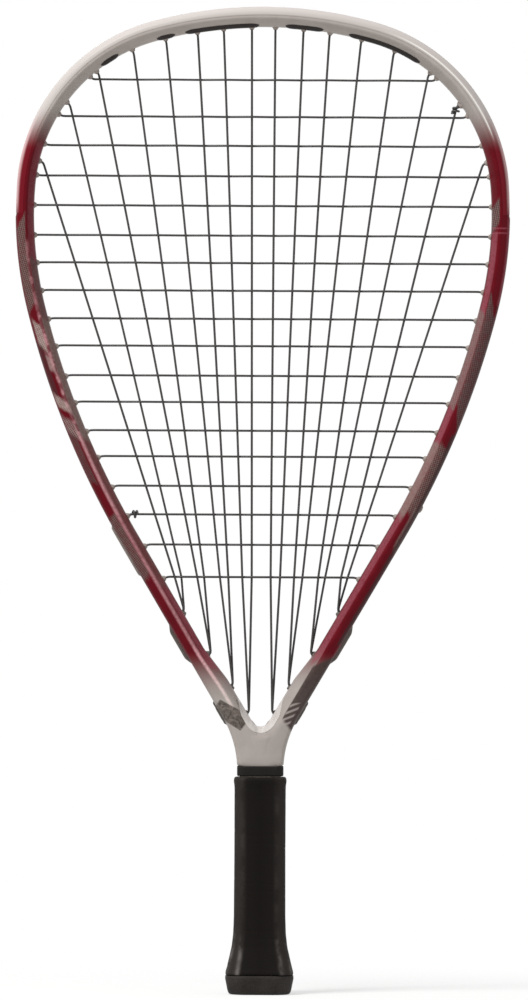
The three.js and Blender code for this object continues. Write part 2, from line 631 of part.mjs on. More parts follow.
// Where two mains have almost met, the cross passes both on one side and the outer one stays level
function crossing(h, i, j) {
  const z = CROSS_Z_AT_MOUTH[j];
  const x = mainX(h, i, z);
  if (z >= h.top[i].mouth.z || Math.abs(x) >= Math.abs(crossLine(j).end.x)) return null;
  const pitches = [i - 1, i + 1].filter((k) => k >= 0 && k < MAINS_PER_SIDE)
    .map((k) => Math.abs(mainX(h, k, z) - x));
  const over = (mainIndex(h.side, i) + j) % 2 === 0 ? 1 : -1;
  if (i % 2 === 1 && pitches[0] < LEAST_PITCH) return { x, z, main: 0, cross: over * CLEAR };
  const least = Math.min(...pitches, Math.abs(crossLine(j).end.x) - Math.abs(x));
  if (least > SHARED_WEAVE_PITCH) {
    return { x, z, main: null, cross: (-over * CLEAR * least) / Math.sqrt(least ** 2 - 4 * CLEAR ** 2) };
  }
  const wide = Math.max(least, LEAST_PITCH);
  const swing = (over * HALF * CLEAR * wide) / Math.sqrt(wide ** 2 - CLEAR ** 2);
  return { x, z, main: swing, cross: -swing };
}

const CROSS_Z_AT_MOUTH = RIGHT.cross.map((h) => h.mouth.z);
const sides = [RIGHT, LEFT];
const mainNumbers = Array.from({ length: MAINS_PER_SIDE }, (_, i) => i);

function mainDown(h, i) {
  const found = CROSS_Z_AT_MOUTH.map((_, j) => crossing(h, i, j)).filter(Boolean);
  const bends = (c) => c !== undefined && c.main !== null;
  const kept = found.filter((c, k) => [found[k - 1], c, found[k + 1]].some(bends));
  return kept.map((c) => new THREE.Vector3(c.x, c.main ?? 0, c.z));
}

function crossRight(j) {
  const found = sides.flatMap((h) => mainNumbers.map((i) => crossing(h, i, j))).filter(Boolean);
  found.sort((a, b) => a.x - b.x);
  return found.map((c) => new THREE.Vector3(c.x, c.cross, c.z));
}

// A wrap round a string: from beside it, round it with an even lead, and off with a short tail
function knot(start, next, tail) {
  const axis = next.clone().sub(start).normalize();
  const offset = tail.mouth.clone().sub(start);
  const sideways = offset.clone().addScaledVector(axis, -offset.dot(axis)).normalize();
  const other = axis.clone().cross(sideways);
  const lead = CLEAR / KNOT_STEPS;
  const radius = CLEAR / Math.cos(Math.PI / KNOT_STEPS);
  const wraps = Array.from({ length: KNOT_TURNS * KNOT_STEPS + 1 }, (_, k) => {
    const turn = (Math.PI * 2 * k) / KNOT_STEPS;
    return start.clone().addScaledVector(axis, KNOT_START + lead * k)
      .addScaledVector(sideways, radius * Math.cos(turn)).addScaledVector(other, radius * Math.sin(turn));
  });
  const last = wraps[wraps.length - 1].clone();
  return [...wraps, last.addScaledVector(sideways, -KNOT_TAIL)];
}

function mainsOfSide(h) {
  const points = [];
  for (let i = MAINS_PER_SIDE - 1; i > 0; i -= 2) {
    points.push(...mainDown(h, i), ...loopBetween(h.low[i], h.low[i - 1]), ...mainDown(h, i - 1).reverse());
    if (i > 1) points.push(...loopBetween(h.top[i - 1], h.top[i - 2]));
  }
  return points;
}

function stringPath() {
  const firstKnot = knot(RIGHT.top[KNOT_MAIN - 1].mouth, mainDown(RIGHT, KNOT_MAIN - 1)[0], MAIN_TAIL);
  const outermost = MAINS_PER_SIDE - 1;
  const rightMains = mainsOfSide(RIGHT);
  const leftMains = mainsOfSide(LEFT).reverse();
  const points = [...firstKnot.reverse(), ...loopBetween(MAIN_TAIL, RIGHT.top[outermost]), ...rightMains,
    ...loopBetween(RIGHT.top[0], LEFT.top[0]), ...leftMains];
  points.push(...fromMainsToCrosses());
  CROSS_Z.forEach((_, j) => {
    const rightward = j % 2 === 0;
    const last = rightward ? RIGHT.cross[j] : LEFT.cross[j];
    const next = rightward ? RIGHT.cross[j + 1] : LEFT.cross[j + 1];
    points.push(...(rightward ? crossRight(j) : crossRight(j).reverse()));
    if (next) points.push(...loopBetween(last, next));
  });
  points.push(...backToKnotCross());
  const knotCross = crossRight(KNOT_CROSS - 1)[0];
  points.push(...knot(LEFT.cross[KNOT_CROSS - 1].mouth, knotCross, CROSS_TAIL));
  return points;
}

// On the left the last main's string goes on as the first cross, changing sides in the channel
function fromMainsToCrosses() {
  const from = LEFT.top[MAINS_PER_SIDE - 1];
  const to = LEFT.cross[0];
  const past = LEFT.cross[1].s + CORNER * 2;
  const before = LEFT.top[KNOT_MAIN - 1].s - CORNER * 3;
  const low = run(from.s + CORNER, past, from.v, from.depth).slice(1);
  const high = run(before, to.s - CORNER, to.v, to.depth).slice(0, -1);
  return [...leave(from, 1), ...low, ...high, ...enter(to, 1)];
}

// The last cross goes back outside, on the other side of the loop there, to the knot's hole
function backToKnotCross() {
  const from = LEFT.cross[CROSS_Z.length - 1];
  const start = from.s + CORNER * 5;
  const middle = run(start, CROSS_TAIL.s - CORNER, CROSS_TAIL.v, from.depth).slice(0, -1);
  return [...leave(from, 1), ...middle, ...enter(CROSS_TAIL, 1)];
}

// A round cord along a path: each ring is the last one carried on to the next bisecting plane
function cord(path, radius, count) {
  const steps = path.slice(1).map((p, i) => p.clone().sub(path[i]).normalize());
  const first = steps[0];
  const across = new THREE.Vector3(0, 1, 0).addScaledVector(first, -first.y).normalize();
  const other = first.clone().cross(across);
  let spokes = Array.from({ length: count }, (_, k) => {
    const turn = (Math.PI * 2 * k) / count;
    return across.clone().multiplyScalar(radius * Math.cos(turn))
      .addScaledVector(other, radius * Math.sin(turn));
  });
  const flat = Array.from({ length: count }, (_, k) => {
    const turn = (Math.PI * 2 * k) / count;
    return [Math.cos(turn), Math.sin(turn)];
  });
  const rings = path.map((p, i) => {
    const before = steps[Math.max(i - 1, 0)];
    const after = steps[Math.min(i, steps.length - 1)];
    const plane = before.clone().add(after).normalize();
    const cut = spokes.map((q) => q.clone().addScaledVector(before, -q.dot(plane) / before.dot(plane)));
    spokes = cut.map((q) => q.clone().addScaledVector(after, -q.dot(after)));
    return cut.map((q) => q.add(p));
  });
  return loft(rings, flat, flat);
}

// Least distance between two straight stretches, from their nearest points
function stretchGap(a, b) {
  const da = a[1].clone().sub(a[0]);
  const db = b[1].clone().sub(b[0]);
  const between0 = a[0].clone().sub(b[0]);
  const [aa, bb, ab] = [da.dot(da), db.dot(db), da.dot(db)];
  const [ca, cb] = [da.dot(between0), db.dot(between0)];
  const clamp = (t) => Math.min(Math.max(t, 0), 1);
  const nearly = aa * bb - ab * ab;
  let s = nearly > 0 ? clamp((ab * cb - ca * bb) / nearly) : 0;
  const t = clamp((ab * s + cb) / bb);
  s = clamp((ab * t - ca) / aa);
  return a[0].clone().addScaledVector(da, s).distanceTo(b[0].clone().addScaledVector(db, t));
}

function leastGap(path, radius) {
  const stretches = path.slice(1).map((p, i) => [path[i], p]);
  const lengths = [0];
  stretches.forEach(([p, q]) => lengths.push(lengths[lengths.length - 1] + p.distanceTo(q)));
  let least = Infinity;
  stretches.forEach((a, i) => {
    for (let k = i + 2; k < stretches.length; k += 1) {
      const apart = lengths[k] - lengths[i + 1];
      if (apart > Math.PI * CLEAR * HALF) least = Math.min(least, stretchGap(a, stretches[k]));
    }
  });
  return least - 2 * radius;
}

const STRING_PATH = stringPath();
console.log("least gap of the string to itself, mm:", leastGap(STRING_PATH, STRING_RADIUS).toFixed(2));

// Handle

const palletBevel = () => PALLET_BEVEL;

function makePallet(sign) {
  const rows = [PALLET_LOW_Z, PALLET_TOP_Z].map((z) => [z, PALLET_HALF_X, PALLET_HALF_Y]);
  const inside = [[PALLET_LOW_Z - 1, PALLET_IN_HALF_X, PALLET_IN_HALF_Y],
    [PALLET_TOP_Z + 1, PALLET_IN_HALF_X, PALLET_IN_HALF_Y]];
  const whole = octagonLoft(rows, palletBevel).subtract(octagonLoft(inside, () => PALLET_IN_BEVEL));
  const size = [PALLET_HALF_X * 4, PALLET_HALF_Y * 4, PALLET_TOP_Z * 4];
  const keep = wasm.Manifold.cube(size, true).translate([0, sign * (size[1] + GAP) * HALF, 0]);
  return whole.intersect(keep);
}

const ROOM = [PALLET_HALF_X + GAP, PALLET_HALF_Y + GAP];
const outside = (rings, extra) => rings.map(([z, out]) => [z, ...ROOM.map((size) => size + out + extra)]);
const capBevel = (x, y) => CAP_BEVEL_SHARE * Math.min(x, y);
const gripBevel = (x, y) => GRIP_BEVEL_SHARE * Math.min(x, y);
const SKIRT_BODY = [[CAP_LIP_Z - 1, SKIRT_RINGS[0][1]], ...SKIRT_RINGS.slice(1)];

function makeButtCap() {
  const lip = octagonLoft(outside(CAP_RINGS, 0), capBevel);
  const skirt = octagonLoft(outside(SKIRT_BODY, 0), capBevel);
  const room = octagonLoft([[CAP_FLOOR, ...ROOM], [CAP_SKIRT_Z + 1, ...ROOM]], palletBevel);
  const cord = [-1, CAP_FLOOR + 1].map((z) => [z, CORD_HOLE_HALF_X, CORD_HOLE_HALF_Y]);
  return fuse([lip, skirt]).subtract(fuse([room, octagonLoft(cord, () => CORD_HOLE_BEVEL)]));
}

function makeGrip() {
  const outer = octagonLoft(outside(GRIP_RINGS, 0), gripBevel);
  const skirt = octagonLoft(outside(SKIRT_BODY, GAP), capBevel);
  const lastOut = SKIRT_RINGS[SKIRT_RINGS.length - 1][1];
  const endRings = [CAP_SKIRT_Z - 1, CAP_SKIRT_Z + GAP].map((z) => [z, lastOut]);
  const skirtEnd = octagonLoft(outside(endRings, GAP), palletBevel);
  const room = octagonLoft([[0, ...ROOM], [GRIP_TOP_Z + 1, ...ROOM]], palletBevel);
  return outer.subtract(fuse([skirt, skirtEnd, room]));
}

function makeCollar() {
  const inner = [SHAFT_HALF_WIDTH - HANDLE_INSET + GAP, SHAFT_DEPTH * HALF + GAP];
  const outer = inner.map((size) => size + COLLAR_THICKNESS);
  const body = octagonLoft([[COLLAR_LOW_Z, ...outer], [COLLAR_TOP_Z, ...outer]], () => COLLAR_BEVEL);
  const roomRows = [COLLAR_LOW_Z - 1, COLLAR_TOP_Z + 1].map((z) => [z, ...inner]);
  const room = octagonLoft(roomRows, () => PALLET_IN_BEVEL);
  return body.subtract(room);
}

// Colours and surfaces

const PAINT = { color: 0xa8202c, roughness: 0.3, metalness: 0.2 };
const PALE_PAINT = { color: 0xc4bebc, roughness: 0.35, metalness: 0.3 };
const CLEAR_NYLON = { color: 0xd9d6d2, roughness: 0.45, metalness: 0 };
const DARK_NYLON = { color: 0x4a4644, roughness: 0.5, metalness: 0 };
const STRING = { color: 0x2e2c2d, roughness: 0.4, metalness: 0 };
const FOAM = { color: 0x8f8a80, roughness: 0.8, metalness: 0 };
const CAP = { color: 0x1d1b1b, roughness: 0.6, metalness: 0 };
const GRIP = { color: 0x201d1c, roughness: 0.75, metalness: 0 };

const part = new THREE.Group();
part.name = "racquetball_racket";

function place(name, body, look) {
  const mesh = body.getMesh();
  const geometry = new THREE.BufferGeometry();
  geometry.setAttribute("position", new THREE.BufferAttribute(new Float32Array(mesh.vertProperties), 3));
  geometry.setIndex(new THREE.BufferAttribute(new Uint32Array(mesh.triVerts), 1));
  const flat = geometry.toNonIndexed();
  flat.computeVertexNormals();
  const piece = new THREE.Mesh(flat, new THREE.MeshStandardMaterial(look));
  piece.name = name;
  part.add(piece);
}

place("frame", makeFrame(), PAINT);
place("throat_bridge", makeBridge(), PALE_PAINT);
place("bumper_guard", makeBumper(), CLEAR_NYLON);
place("side_strip_right", makeSideStrip(RIGHT, RIGHT_PAD_SHARES), CLEAR_NYLON);
place("side_strip_left", makeSideStrip(LEFT, LEFT_PAD_SHARES), CLEAR_NYLON);
for (const [side, h] of [["right", RIGHT], ["left", LEFT]]) {
  const upper = makeGuard(h.low.slice(4), [2, 3], UPPER_GUARD_PAST, UPPER_GUARD_PROUD);
  const lower = makeGuard(h.low.slice(0, 4), [0, 1], LOWER_GUARD_PAST, LOWER_GUARD_PROUD);
  place(`upper_string_guard_${side}`, upper, DARK_NYLON);
  place(`lower_string_guard_${side}`, lower, DARK_NYLON);
}
place("string_bed", cord(STRING_PATH, STRING_RADIUS, STRING_SIDES), STRING);
place("pallet_front", makePallet(-1), FOAM);
place("pallet_back", makePallet(1), FOAM);
place("butt_cap", makeButtCap(), CAP);
place("grip", makeGrip(), GRIP);
place("grip_collar", makeCollar(), CAP);

export default part;
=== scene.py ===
"""Racquetball racket: the finished look of every piece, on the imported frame."""

import math

import bpy
import numpy as np
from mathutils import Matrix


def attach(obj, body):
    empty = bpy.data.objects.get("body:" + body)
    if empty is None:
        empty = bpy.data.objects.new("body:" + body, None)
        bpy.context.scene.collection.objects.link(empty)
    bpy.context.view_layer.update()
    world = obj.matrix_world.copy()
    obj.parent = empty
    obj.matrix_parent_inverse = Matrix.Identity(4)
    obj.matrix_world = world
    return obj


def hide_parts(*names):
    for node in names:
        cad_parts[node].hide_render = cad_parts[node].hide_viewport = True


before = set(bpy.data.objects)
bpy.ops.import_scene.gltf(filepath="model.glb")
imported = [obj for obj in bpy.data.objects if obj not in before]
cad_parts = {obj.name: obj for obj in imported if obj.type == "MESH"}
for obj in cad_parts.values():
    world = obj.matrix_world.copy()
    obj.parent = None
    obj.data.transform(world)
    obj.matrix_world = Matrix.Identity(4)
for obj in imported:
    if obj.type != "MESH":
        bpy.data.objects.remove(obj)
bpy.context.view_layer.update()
MM = 0.001


def put(name, data):
    """A new object in the scene."""
    made = bpy.data.objects.new(name, data)
    bpy.context.scene.collection.objects.link(made)
    return made


# Camera: straight on from the front, far away, rolled a little as the photograph leans

CAMERA_DISTANCE = 6.0
FRAME_HEIGHT = 0.56626
SENSOR = 24.0
camera_data = bpy.data.cameras.new("camera")
camera_data.sensor_fit = "VERTICAL"
camera_data.sensor_height = SENSOR
camera_data.lens = SENSOR * CAMERA_DISTANCE / FRAME_HEIGHT
camera_data.clip_end = 50
camera = put("camera", camera_data)
camera.location = (0.0014, -CAMERA_DISTANCE, 0.2797)
camera.rotation_euler = (math.radians(90), math.radians(-0.267), 0)
bpy.context.scene.camera = camera
bpy.context.scene.view_settings.view_transform = "Standard"

# Outline of the head in millimetres: arcs and straights, each tangent to the next

HEAD_HALF_WIDTH = 139.9
ARCS = [(1.7084, 15.5), (0.7384, 70.5), (1.6269, 18.2), (3.5768, 16.2)]
THROAT_RADIUS = 60
SHAFT_HALF_WIDTH = 13.05
SHAFT_TOP_Z = 126.2
FRAME_END_Z = 9
GAP = 0.3


def outline_chain():
    """Rows of start distance, x, z, heading and curve. The straight leg takes up what the arcs leave."""
    rows = []
    s = x = z = heading = 0.0

    def lay(curve, length):
        """One more row, and the state at its end."""
        nonlocal s, x, z, heading
        rows.append((s, x, z, heading, curve))
        turned = heading + curve * length
        if curve == 0:
            x, z = x + math.cos(heading) * length, z - math.sin(heading) * length
        else:
            x = x + (math.sin(turned) - math.sin(heading)) / curve
            z = z + (math.cos(turned) - math.cos(heading)) / curve
        s, heading = s + length, turned

    for share, degrees in ARCS:
        lay(1 / (share * HEAD_HALF_WIDTH), share * HEAD_HALF_WIDTH * math.radians(degrees))
    lean = heading - math.pi / 2
    drift = THROAT_RADIUS * (1 - math.cos(lean))
    lay(0, (x - drift - SHAFT_HALF_WIDTH) / math.sin(lean))
    lay(-1 / THROAT_RADIUS, THROAT_RADIUS * lean)
    rise = SHAFT_TOP_Z - z
    lay(0, SHAFT_TOP_Z - FRAME_END_Z)
    chain = np.array(rows)
    chain[:, 2] += rise
    return chain, s


CHAIN, END_S = outline_chain()
TOP_Z = CHAIN[0, 2]
LEG_LEAN = CHAIN[4, 3] - math.pi / 2


def outline(s):
    """x, z and the outward normal of the outline at the distance s from the crown, negative on the left."""
    s = np.asarray(s, float)
    a = np.abs(s)
    rows = CHAIN[np.clip(np.searchsorted(CHAIN[:, 0], a, "right") - 1, 0, None)]
    start, x0, z0, h0, curve = np.moveaxis(rows, -1, 0)
    run = a - start
    h = h0 + curve * run
    safe = np.where(curve == 0, 1, curve)
    x = x0 + np.where(curve == 0, np.cos(h) * run, (np.sin(h) - np.sin(h0)) / safe)
    z = z0 + np.where(curve == 0, -np.sin(h) * run, (np.cos(h) - np.cos(h0)) / safe)
    side = np.where(s < 0, -1, 1)
    return side * x, z, side * np.sin(h), np.cos(h)


def place(s, u, v):
    """The point that lies u inside the outline and v in front of the middle plane."""
    x, z, nx, nz = outline(s)
    return np.stack(np.broadcast_arrays(x - nx * u, -np.asarray(v, float), z - nz * u), -1)


# Sizes of the tube, as the solids have them

CROWN_WIDTH, SIDE_WIDTH, THROAT_WIDTH = 11.3, 10.3, 13.0
CROWN_DEPTH, SIDE_DEPTH, THROAT_DEPTH, SHAFT_DEPTH, HANDLE_DEPTH = 20, 22.4, 20.5, 19.6, 18.6
THROAT_WIDTH_RISE, SIDE_WIDTH_RISE, SIDE_DEPTH_RISE = 15.1, 33.1, 73.1
LEGS_MEET_DROP, LEGS_JOINED_DROP = 5.7, 17.9
FIRST_CROSS_DROP, LAST_CROSS_RISE = 39.8, 78.1
RIDGE_SHARE = 0.56
EDGE_RUN, EDGE_DROP, FACE_DROP = 1.4, 1.3, 3.9
INNER_RUN, INNER_DROP, INNER_FACE_DROP = 2.6, 2.6, 7
HANDLE_INSET, HANDLE_INSET_Z, PALLET_TOP_Z = 1.3, 129.7, 122.6
LEG_X, LEG_Z = CHAIN[4, 1], CHAIN[4, 2]
LEG_NX, LEG_NZ = math.cos(LEG_LEAN), -math.sin(LEG_LEAN)
OPENING_RADIUS = 5.5
OPENING_Z = LEG_Z + (LEG_X * LEG_NX - THROAT_WIDTH - OPENING_RADIUS) / LEG_NZ
FIRST_CROSS_Z = TOP_Z - FIRST_CROSS_DROP
LAST_CROSS_Z = OPENING_Z + LAST_CROSS_RISE


def range_z(share):
    """The height at a share of the way down from the first cross to the last one."""
    return FIRST_CROSS_Z - np.asarray(share) * (FIRST_CROSS_Z - LAST_CROSS_Z)


BUMPER_END_Z = float(range_z(0.2746))
SIDE_DEPTH_Z = float(range_z(0.42))


def by_height(z, knots):
    """Straight steps between pairs of height and value."""
    pairs = sorted(knots)
    return np.interp(z, [k[0] for k in pairs], [k[1] for k in pairs])


def legs_share(z):
    """0 where the legs are apart, 1 where they have become the shaft."""
    return by_height(z, [(OPENING_Z - LEGS_MEET_DROP, 0), (OPENING_Z - LEGS_JOINED_DROP, 1)])


def width(s):
    """Width of the tube in the plane of the head. Where the legs are joined it reaches past the middle."""
    x, z, nx, _ = outline(np.abs(s))
    own = by_height(z, [(TOP_Z, CROWN_WIDTH), (BUMPER_END_Z, SIDE_WIDTH),
                        (OPENING_Z + SIDE_WIDTH_RISE, SIDE_WIDTH), (OPENING_Z + THROAT_WIDTH_RISE, THROAT_WIDTH)])
    to_middle = (x + 1) / np.maximum(nx, 0.5)
    return own + (to_middle - own) * legs_share(z)


def half_depth_at(z):
    """Half of the tube's depth by height: deepest at the sides, less at the crown and at the shaft."""
    return 0.5 * by_height(z, [(TOP_Z, CROWN_DEPTH), (SIDE_DEPTH_Z, SIDE_DEPTH),
                               (OPENING_Z + SIDE_DEPTH_RISE, SIDE_DEPTH), (OPENING_Z - LEGS_MEET_DROP, THROAT_DEPTH),
                               (HANDLE_INSET_Z, SHAFT_DEPTH), (PALLET_TOP_Z, HANDLE_DEPTH)])


def half_depth(s):
    """Half of the tube's depth along the outline."""
    return half_depth_at(outline(s)[1])


S_TABLE = np.linspace(0, END_S, 40001)
X_TABLE, Z_TABLE, _, _ = outline(S_TABLE)
INNER_TABLE = place(S_TABLE, width(S_TABLE), 0)


def s_at_z(z):
    """Distance along the outline at a height."""
    return np.interp(-np.asarray(z, float), -Z_TABLE, S_TABLE)


def s_at_inner_z(z):
    """Distance along the outline of the inner edge's point at a height."""
    use = S_TABLE >= s_at_z(TOP_Z - CROWN_WIDTH)
    return np.interp(-np.asarray(z, float), -INNER_TABLE[use, 2], S_TABLE[use])


def s_at_inner_x(x):
    """Distance along the outline of the inner edge's point at an x, over the crown."""
    use = S_TABLE <= s_at_z(BUMPER_END_Z)
    return np.interp(x, INNER_TABLE[use, 0], S_TABLE[use])


BUMPER_END_S = float(s_at_z(BUMPER_END_Z))
HANDLE_INSET_S = float(s_at_z(HANDLE_INSET_Z))
BUMPER_THICKNESS, BUMPER_END_THICKNESS, BUMPER_TAPER = 1.6, 0.6, 26
INSET_STEP = 0.5


def inset(s):
    """Depth of the rebate for the bumper guard, and for the handle."""
    full, end = GAP + BUMPER_THICKNESS, GAP + BUMPER_END_THICKNESS
    places = [0, BUMPER_END_S - BUMPER_TAPER, BUMPER_END_S, BUMPER_END_S + INSET_STEP,
              HANDLE_INSET_S, HANDLE_INSET_S + INSET_STEP]
    return np.interp(np.abs(s), places, [full, full, end, 0, 0, HANDLE_INSET])


# Surfaces


def ring_faces(points, uv, hollow=False):
    """Quads between neighbouring closed rings, all facing outwards. A fan closes each end ring, or, where
    the piece is hollow, the last ring joins the first one. uv has one more column than points, so a
    pattern meets itself at the seam."""
    rows, cols = points.shape[:2]
    i, j = np.meshgrid(np.arange(rows if hollow else rows - 1), np.arange(cols), indexing="ij")
    i, j = i.ravel(), j.ravel()
    right, down = (j + 1) % cols, (i + 1) % rows
    quads = np.stack([i * cols + j, i * cols + right, down * cols + right, down * cols + j], 1)
    quad_uv = np.stack([uv[i, j], uv[i, j + 1], uv[down, j + 1], uv[down, j]], 1)
    if hollow:
        verts = points.reshape(-1, 3)
        return verts, *facing_out(verts, [quads], [quad_uv])
    k = np.arange(cols)
    near = (k + 1) % cols
    base = (rows - 1) * cols
    first = np.stack([near, k, np.full(cols, rows * cols)], 1)
    last = np.stack([base + k, base + near, np.full(cols, rows * cols + 1)], 1)
    fan_uv = [np.stack([uv[r, k + 1], uv[r, k], np.broadcast_to(uv[r].mean(0), (cols, 2))], 1) for r in (0, -1)]
    verts = np.concatenate([points.reshape(-1, 3), points[:1].mean(1), points[-1:].mean(1)])
    return verts, *facing_out(verts, [quads, first, last], [quad_uv, fan_uv[0], fan_uv[1][:, [1, 0, 2]]])


def facing_out(verts, faces, uvs):
    """Turns all faces over where the volume that they enclose comes out below zero."""
    halves = np.concatenate([f[:, [0, k, k + 1]] for f in faces for k in range(1, f.shape[1] - 1)])
    a, b, c = verts[halves[:, 0]], verts[halves[:, 1]], verts[halves[:, 2]]
    if np.einsum("ij,ij->", a, np.cross(b, c)) > 0:
        return faces, uvs
    return [f[:, ::-1] for f in faces], [w[:, ::-1] for w in uvs]


def piece(name, tubes, material, stands_for=(), sharp=50):
    """One object from several tubes, each its points in millimetres, its uv in metres and, where its
    rings close on themselves, True."""
    verts, faces, uvs, count = [], [], [], 0
    for tube in tubes:
        v, f, w = ring_faces(*tube)
        verts.append(v)
        faces += [(g + count).tolist() for g in f]
        uvs += [g.reshape(-1, 2) for g in w]
        count += len(v)
    mesh = bpy.data.meshes.new(name)
    mesh.from_pydata((np.concatenate(verts) * MM).tolist(), [], [f for group in faces for f in group])
    layer = mesh.uv_layers.new(name="run")
    layer.data.foreach_set("uv", np.concatenate(uvs).astype(np.float32).ravel())
    mesh.polygons.foreach_set("use_smooth", np.ones(len(mesh.polygons), bool))
    mesh.set_sharp_from_angle(angle=math.radians(sharp))
    mesh.materials.append(material)
    made = put(name, mesh)
    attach(made, "root")
    if stands_for:
        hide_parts(*stands_for)
    return made


def parabolas(corners, before, after, reach, limit, count):
    """Points of a parabola at each corner, from one edge beside it to the other: (1-t)(1-t) of its start,
    2t(1-t) of the corner and tt of its end. It starts and ends at a reach along the edges, or at a share
    of the shorter edge."""
    lengths = [np.linalg.norm(edge, axis=-1, keepdims=True) + 1e-9 for edge in (before, after)]
    reach = np.minimum(reach, limit * np.minimum(*lengths))
    start, end = [(corners + edge / long * reach)[..., None, :] for edge, long in zip((before, after), lengths)]
    t = np.linspace(0, 1, count)[:, None]
    return (1 - t) ** 2 * start + 2 * t * (1 - t) * corners[..., None, :] + t ** 2 * end


def soften(corners, radii, count):
    """Rounds each corner of closed outlines, rows by corners by 2, by its radius. A radius is a number for
    all rows, or radii are rows by corners."""
    before, after = np.roll(corners, 1, 1) - corners, np.roll(corners, -1, 1) - corners
    curve = parabolas(corners, before, after, np.atleast_2d(radii)[..., None], 0.45, count)
    return curve.reshape(len(corners), -1, 2)


def whole_section(half, radii):
    """A rounded section of the corners in its front half, pairs of depth and height, and the same corners
    behind the middle plane."""
    front = np.stack([np.stack(np.broadcast_arrays(u, v), -1) for u, v in half], 1)
    corners = np.concatenate([front, front[:, ::-1] * [1, -1]], 1)
    return soften(corners, np.stack(np.broadcast_arrays(*radii, *radii[::-1]), -1), 4)


def around(s, half, radii):
    """A section of depth inside the outline and height in front, carried along the outline."""
    section = whole_section(half, radii)
    points = place(s[:, None], section[..., 0], section[..., 1])
    closed = np.concatenate([section, section[:, :1]], 1)
    uv = np.stack([np.broadcast_to(s[:, None], closed.shape[:2]), closed[..., 0]], -1) * MM
    return points, uv


def stations(low, high, pitch):
    """Evenly spaced distances from low to high, about a pitch apart."""
    return np.linspace(low, high, max(2, int(abs(high - low) / pitch) + 1))


def unit(v):
    """A vector's direction."""
    return v / np.linalg.norm(v)


def prism_ring(centre, axis, radius, sides, lift):
    """A ring of points round a line, moved along it."""
    across = unit(np.array([0.0, 1.0, 0.0]) - axis * axis[1])
    other = np.cross(axis, across)
    turn = 2 * np.pi * np.arange(sides) / sides
    return centre + axis * lift + radius * (np.cos(turn)[:, None] * across + np.sin(turn)[:, None] * other)


# Holes for the string: an axis from the channel outside to a mouth inside the hoop

STRING_RADIUS = 0.65
STRING_GAP = 0.56
CLEAR = 2 * STRING_RADIUS + STRING_GAP
SIDE_STEP = STRING_RADIUS + 0.25
CORNER = 0.6
NUB, LOW_NUB, PAST_NUB = 1.2, 0.3, 0.9
FLOOR_TOP, FLOOR_BOTTOM = 1.95, 2.75
CHANNEL_HALF, STRIP_HALF = 1.85, 3.2
GROOVE_DEPTH, GROOVE_HALF, GROOVE_END_DROP = 3.05, 3.5, 7.3
GUARD_FLOOR = 0.55
NUB_UV = 0.02
STRING_DEPTH = FLOOR_TOP - GAP - STRING_RADIUS
GUARD_STRING_DEPTH = GUARD_FLOOR - GAP - STRING_RADIUS
MAINS = 8
MAIN_TOP_SHARES = [0.0517, 0.1752, 0.2901, 0.429, 0.5741, 0.7299, 0.8588]
MAIN_LOW_IN = [1.8, 17.7, 34.8, 59.8]
MAIN_LOW_OUT = [-1.5, 6.1, 33.5, 47.7]
LAST_MAIN_SHARE, PAIR_OUTER = 0.1685, 2.6
MAIN_BEND_SHARES = [0.1, 0.2, 0.348, 0.437, 0.604, 0.677, 0.844, 0.915]
CROSS_SHARES = [0, 0.0753, 0.1345, 0.1964, 0.2563, 0.3162, 0.3714, 0.4271, 0.4837,
                0.538, 0.5975, 0.6504, 0.7074, 0.7592, 0.8183, 0.8754, 0.9356, 1]
CROSS_Z = range_z(CROSS_SHARES)
KNOT_MAIN, KNOT_CROSS = 7, 16


def hole(outer_s, inner_s, outer_v, inner_v, depth, nub=NUB):
    """Its ends, from the place outside along the outline to the place inside."""
    return {"s": float(outer_s), "v": outer_v, "depth": depth, "nub": nub, "outer": place(outer_s, depth, outer_v),
            "mouth": place(inner_s, width(inner_s) + nub + PAST_NUB, inner_v)}


def string_holes(side):
    """All holes of one side: eight at the crown, one for each cross, and pairs that share a mouth low down."""
    widest = HEAD_HALF_WIDTH - SIDE_WIDTH
    top_s = [float(s_at_inner_x(share * widest)) for share in MAIN_TOP_SHARES]
    top_s.append(float(s_at_inner_z(range_z(LAST_MAIN_SHARE))))
    cross_s = [float(s_at_inner_z(z)) for z in CROSS_Z]
    low = []
    for rise_in, rise_out in zip(MAIN_LOW_IN, MAIN_LOW_OUT):
        inner_s = float(s_at_inner_z(OPENING_Z + rise_in))
        for way in (1, -1):
            outer_s = float(s_at_z(OPENING_Z + rise_out)) + way * PAIR_OUTER
            low.append(hole(side * outer_s, side * inner_s, 0, way * side, GUARD_STRING_DEPTH, LOW_NUB))
    return {"side": side, "low": low,
            "top": [hole(side * s, side * s, -SIDE_STEP, 0, STRING_DEPTH) for s in top_s],
            "cross": [hole(side * s, side * s, SIDE_STEP, 0, STRING_DEPTH) for s in cross_s]}


RIGHT, LEFT = string_holes(1), string_holes(-1)
TAIL_SIDE_STEP, TAIL_INNER_STEP, TAIL_INNER_DEPTH = 2.4, 1.2, 1.75
MAIN_KNOT_S, CROSS_KNOT_S = RIGHT["top"][KNOT_MAIN - 1]["s"], LEFT["cross"][KNOT_CROSS - 1]["s"]
MAIN_TAIL = hole(MAIN_KNOT_S + TAIL_SIDE_STEP, MAIN_KNOT_S + TAIL_INNER_STEP, -SIDE_STEP, TAIL_INNER_DEPTH,
                 STRING_DEPTH)
CROSS_TAIL = hole(CROSS_KNOT_S - CORNER, CROSS_KNOT_S, -SIDE_STEP, -TAIL_INNER_DEPTH, STRING_DEPTH)


def along(h, past):
    """So far along a hole's axis, inwards."""
    return unit(h["mouth"] - h["outer"]) * past


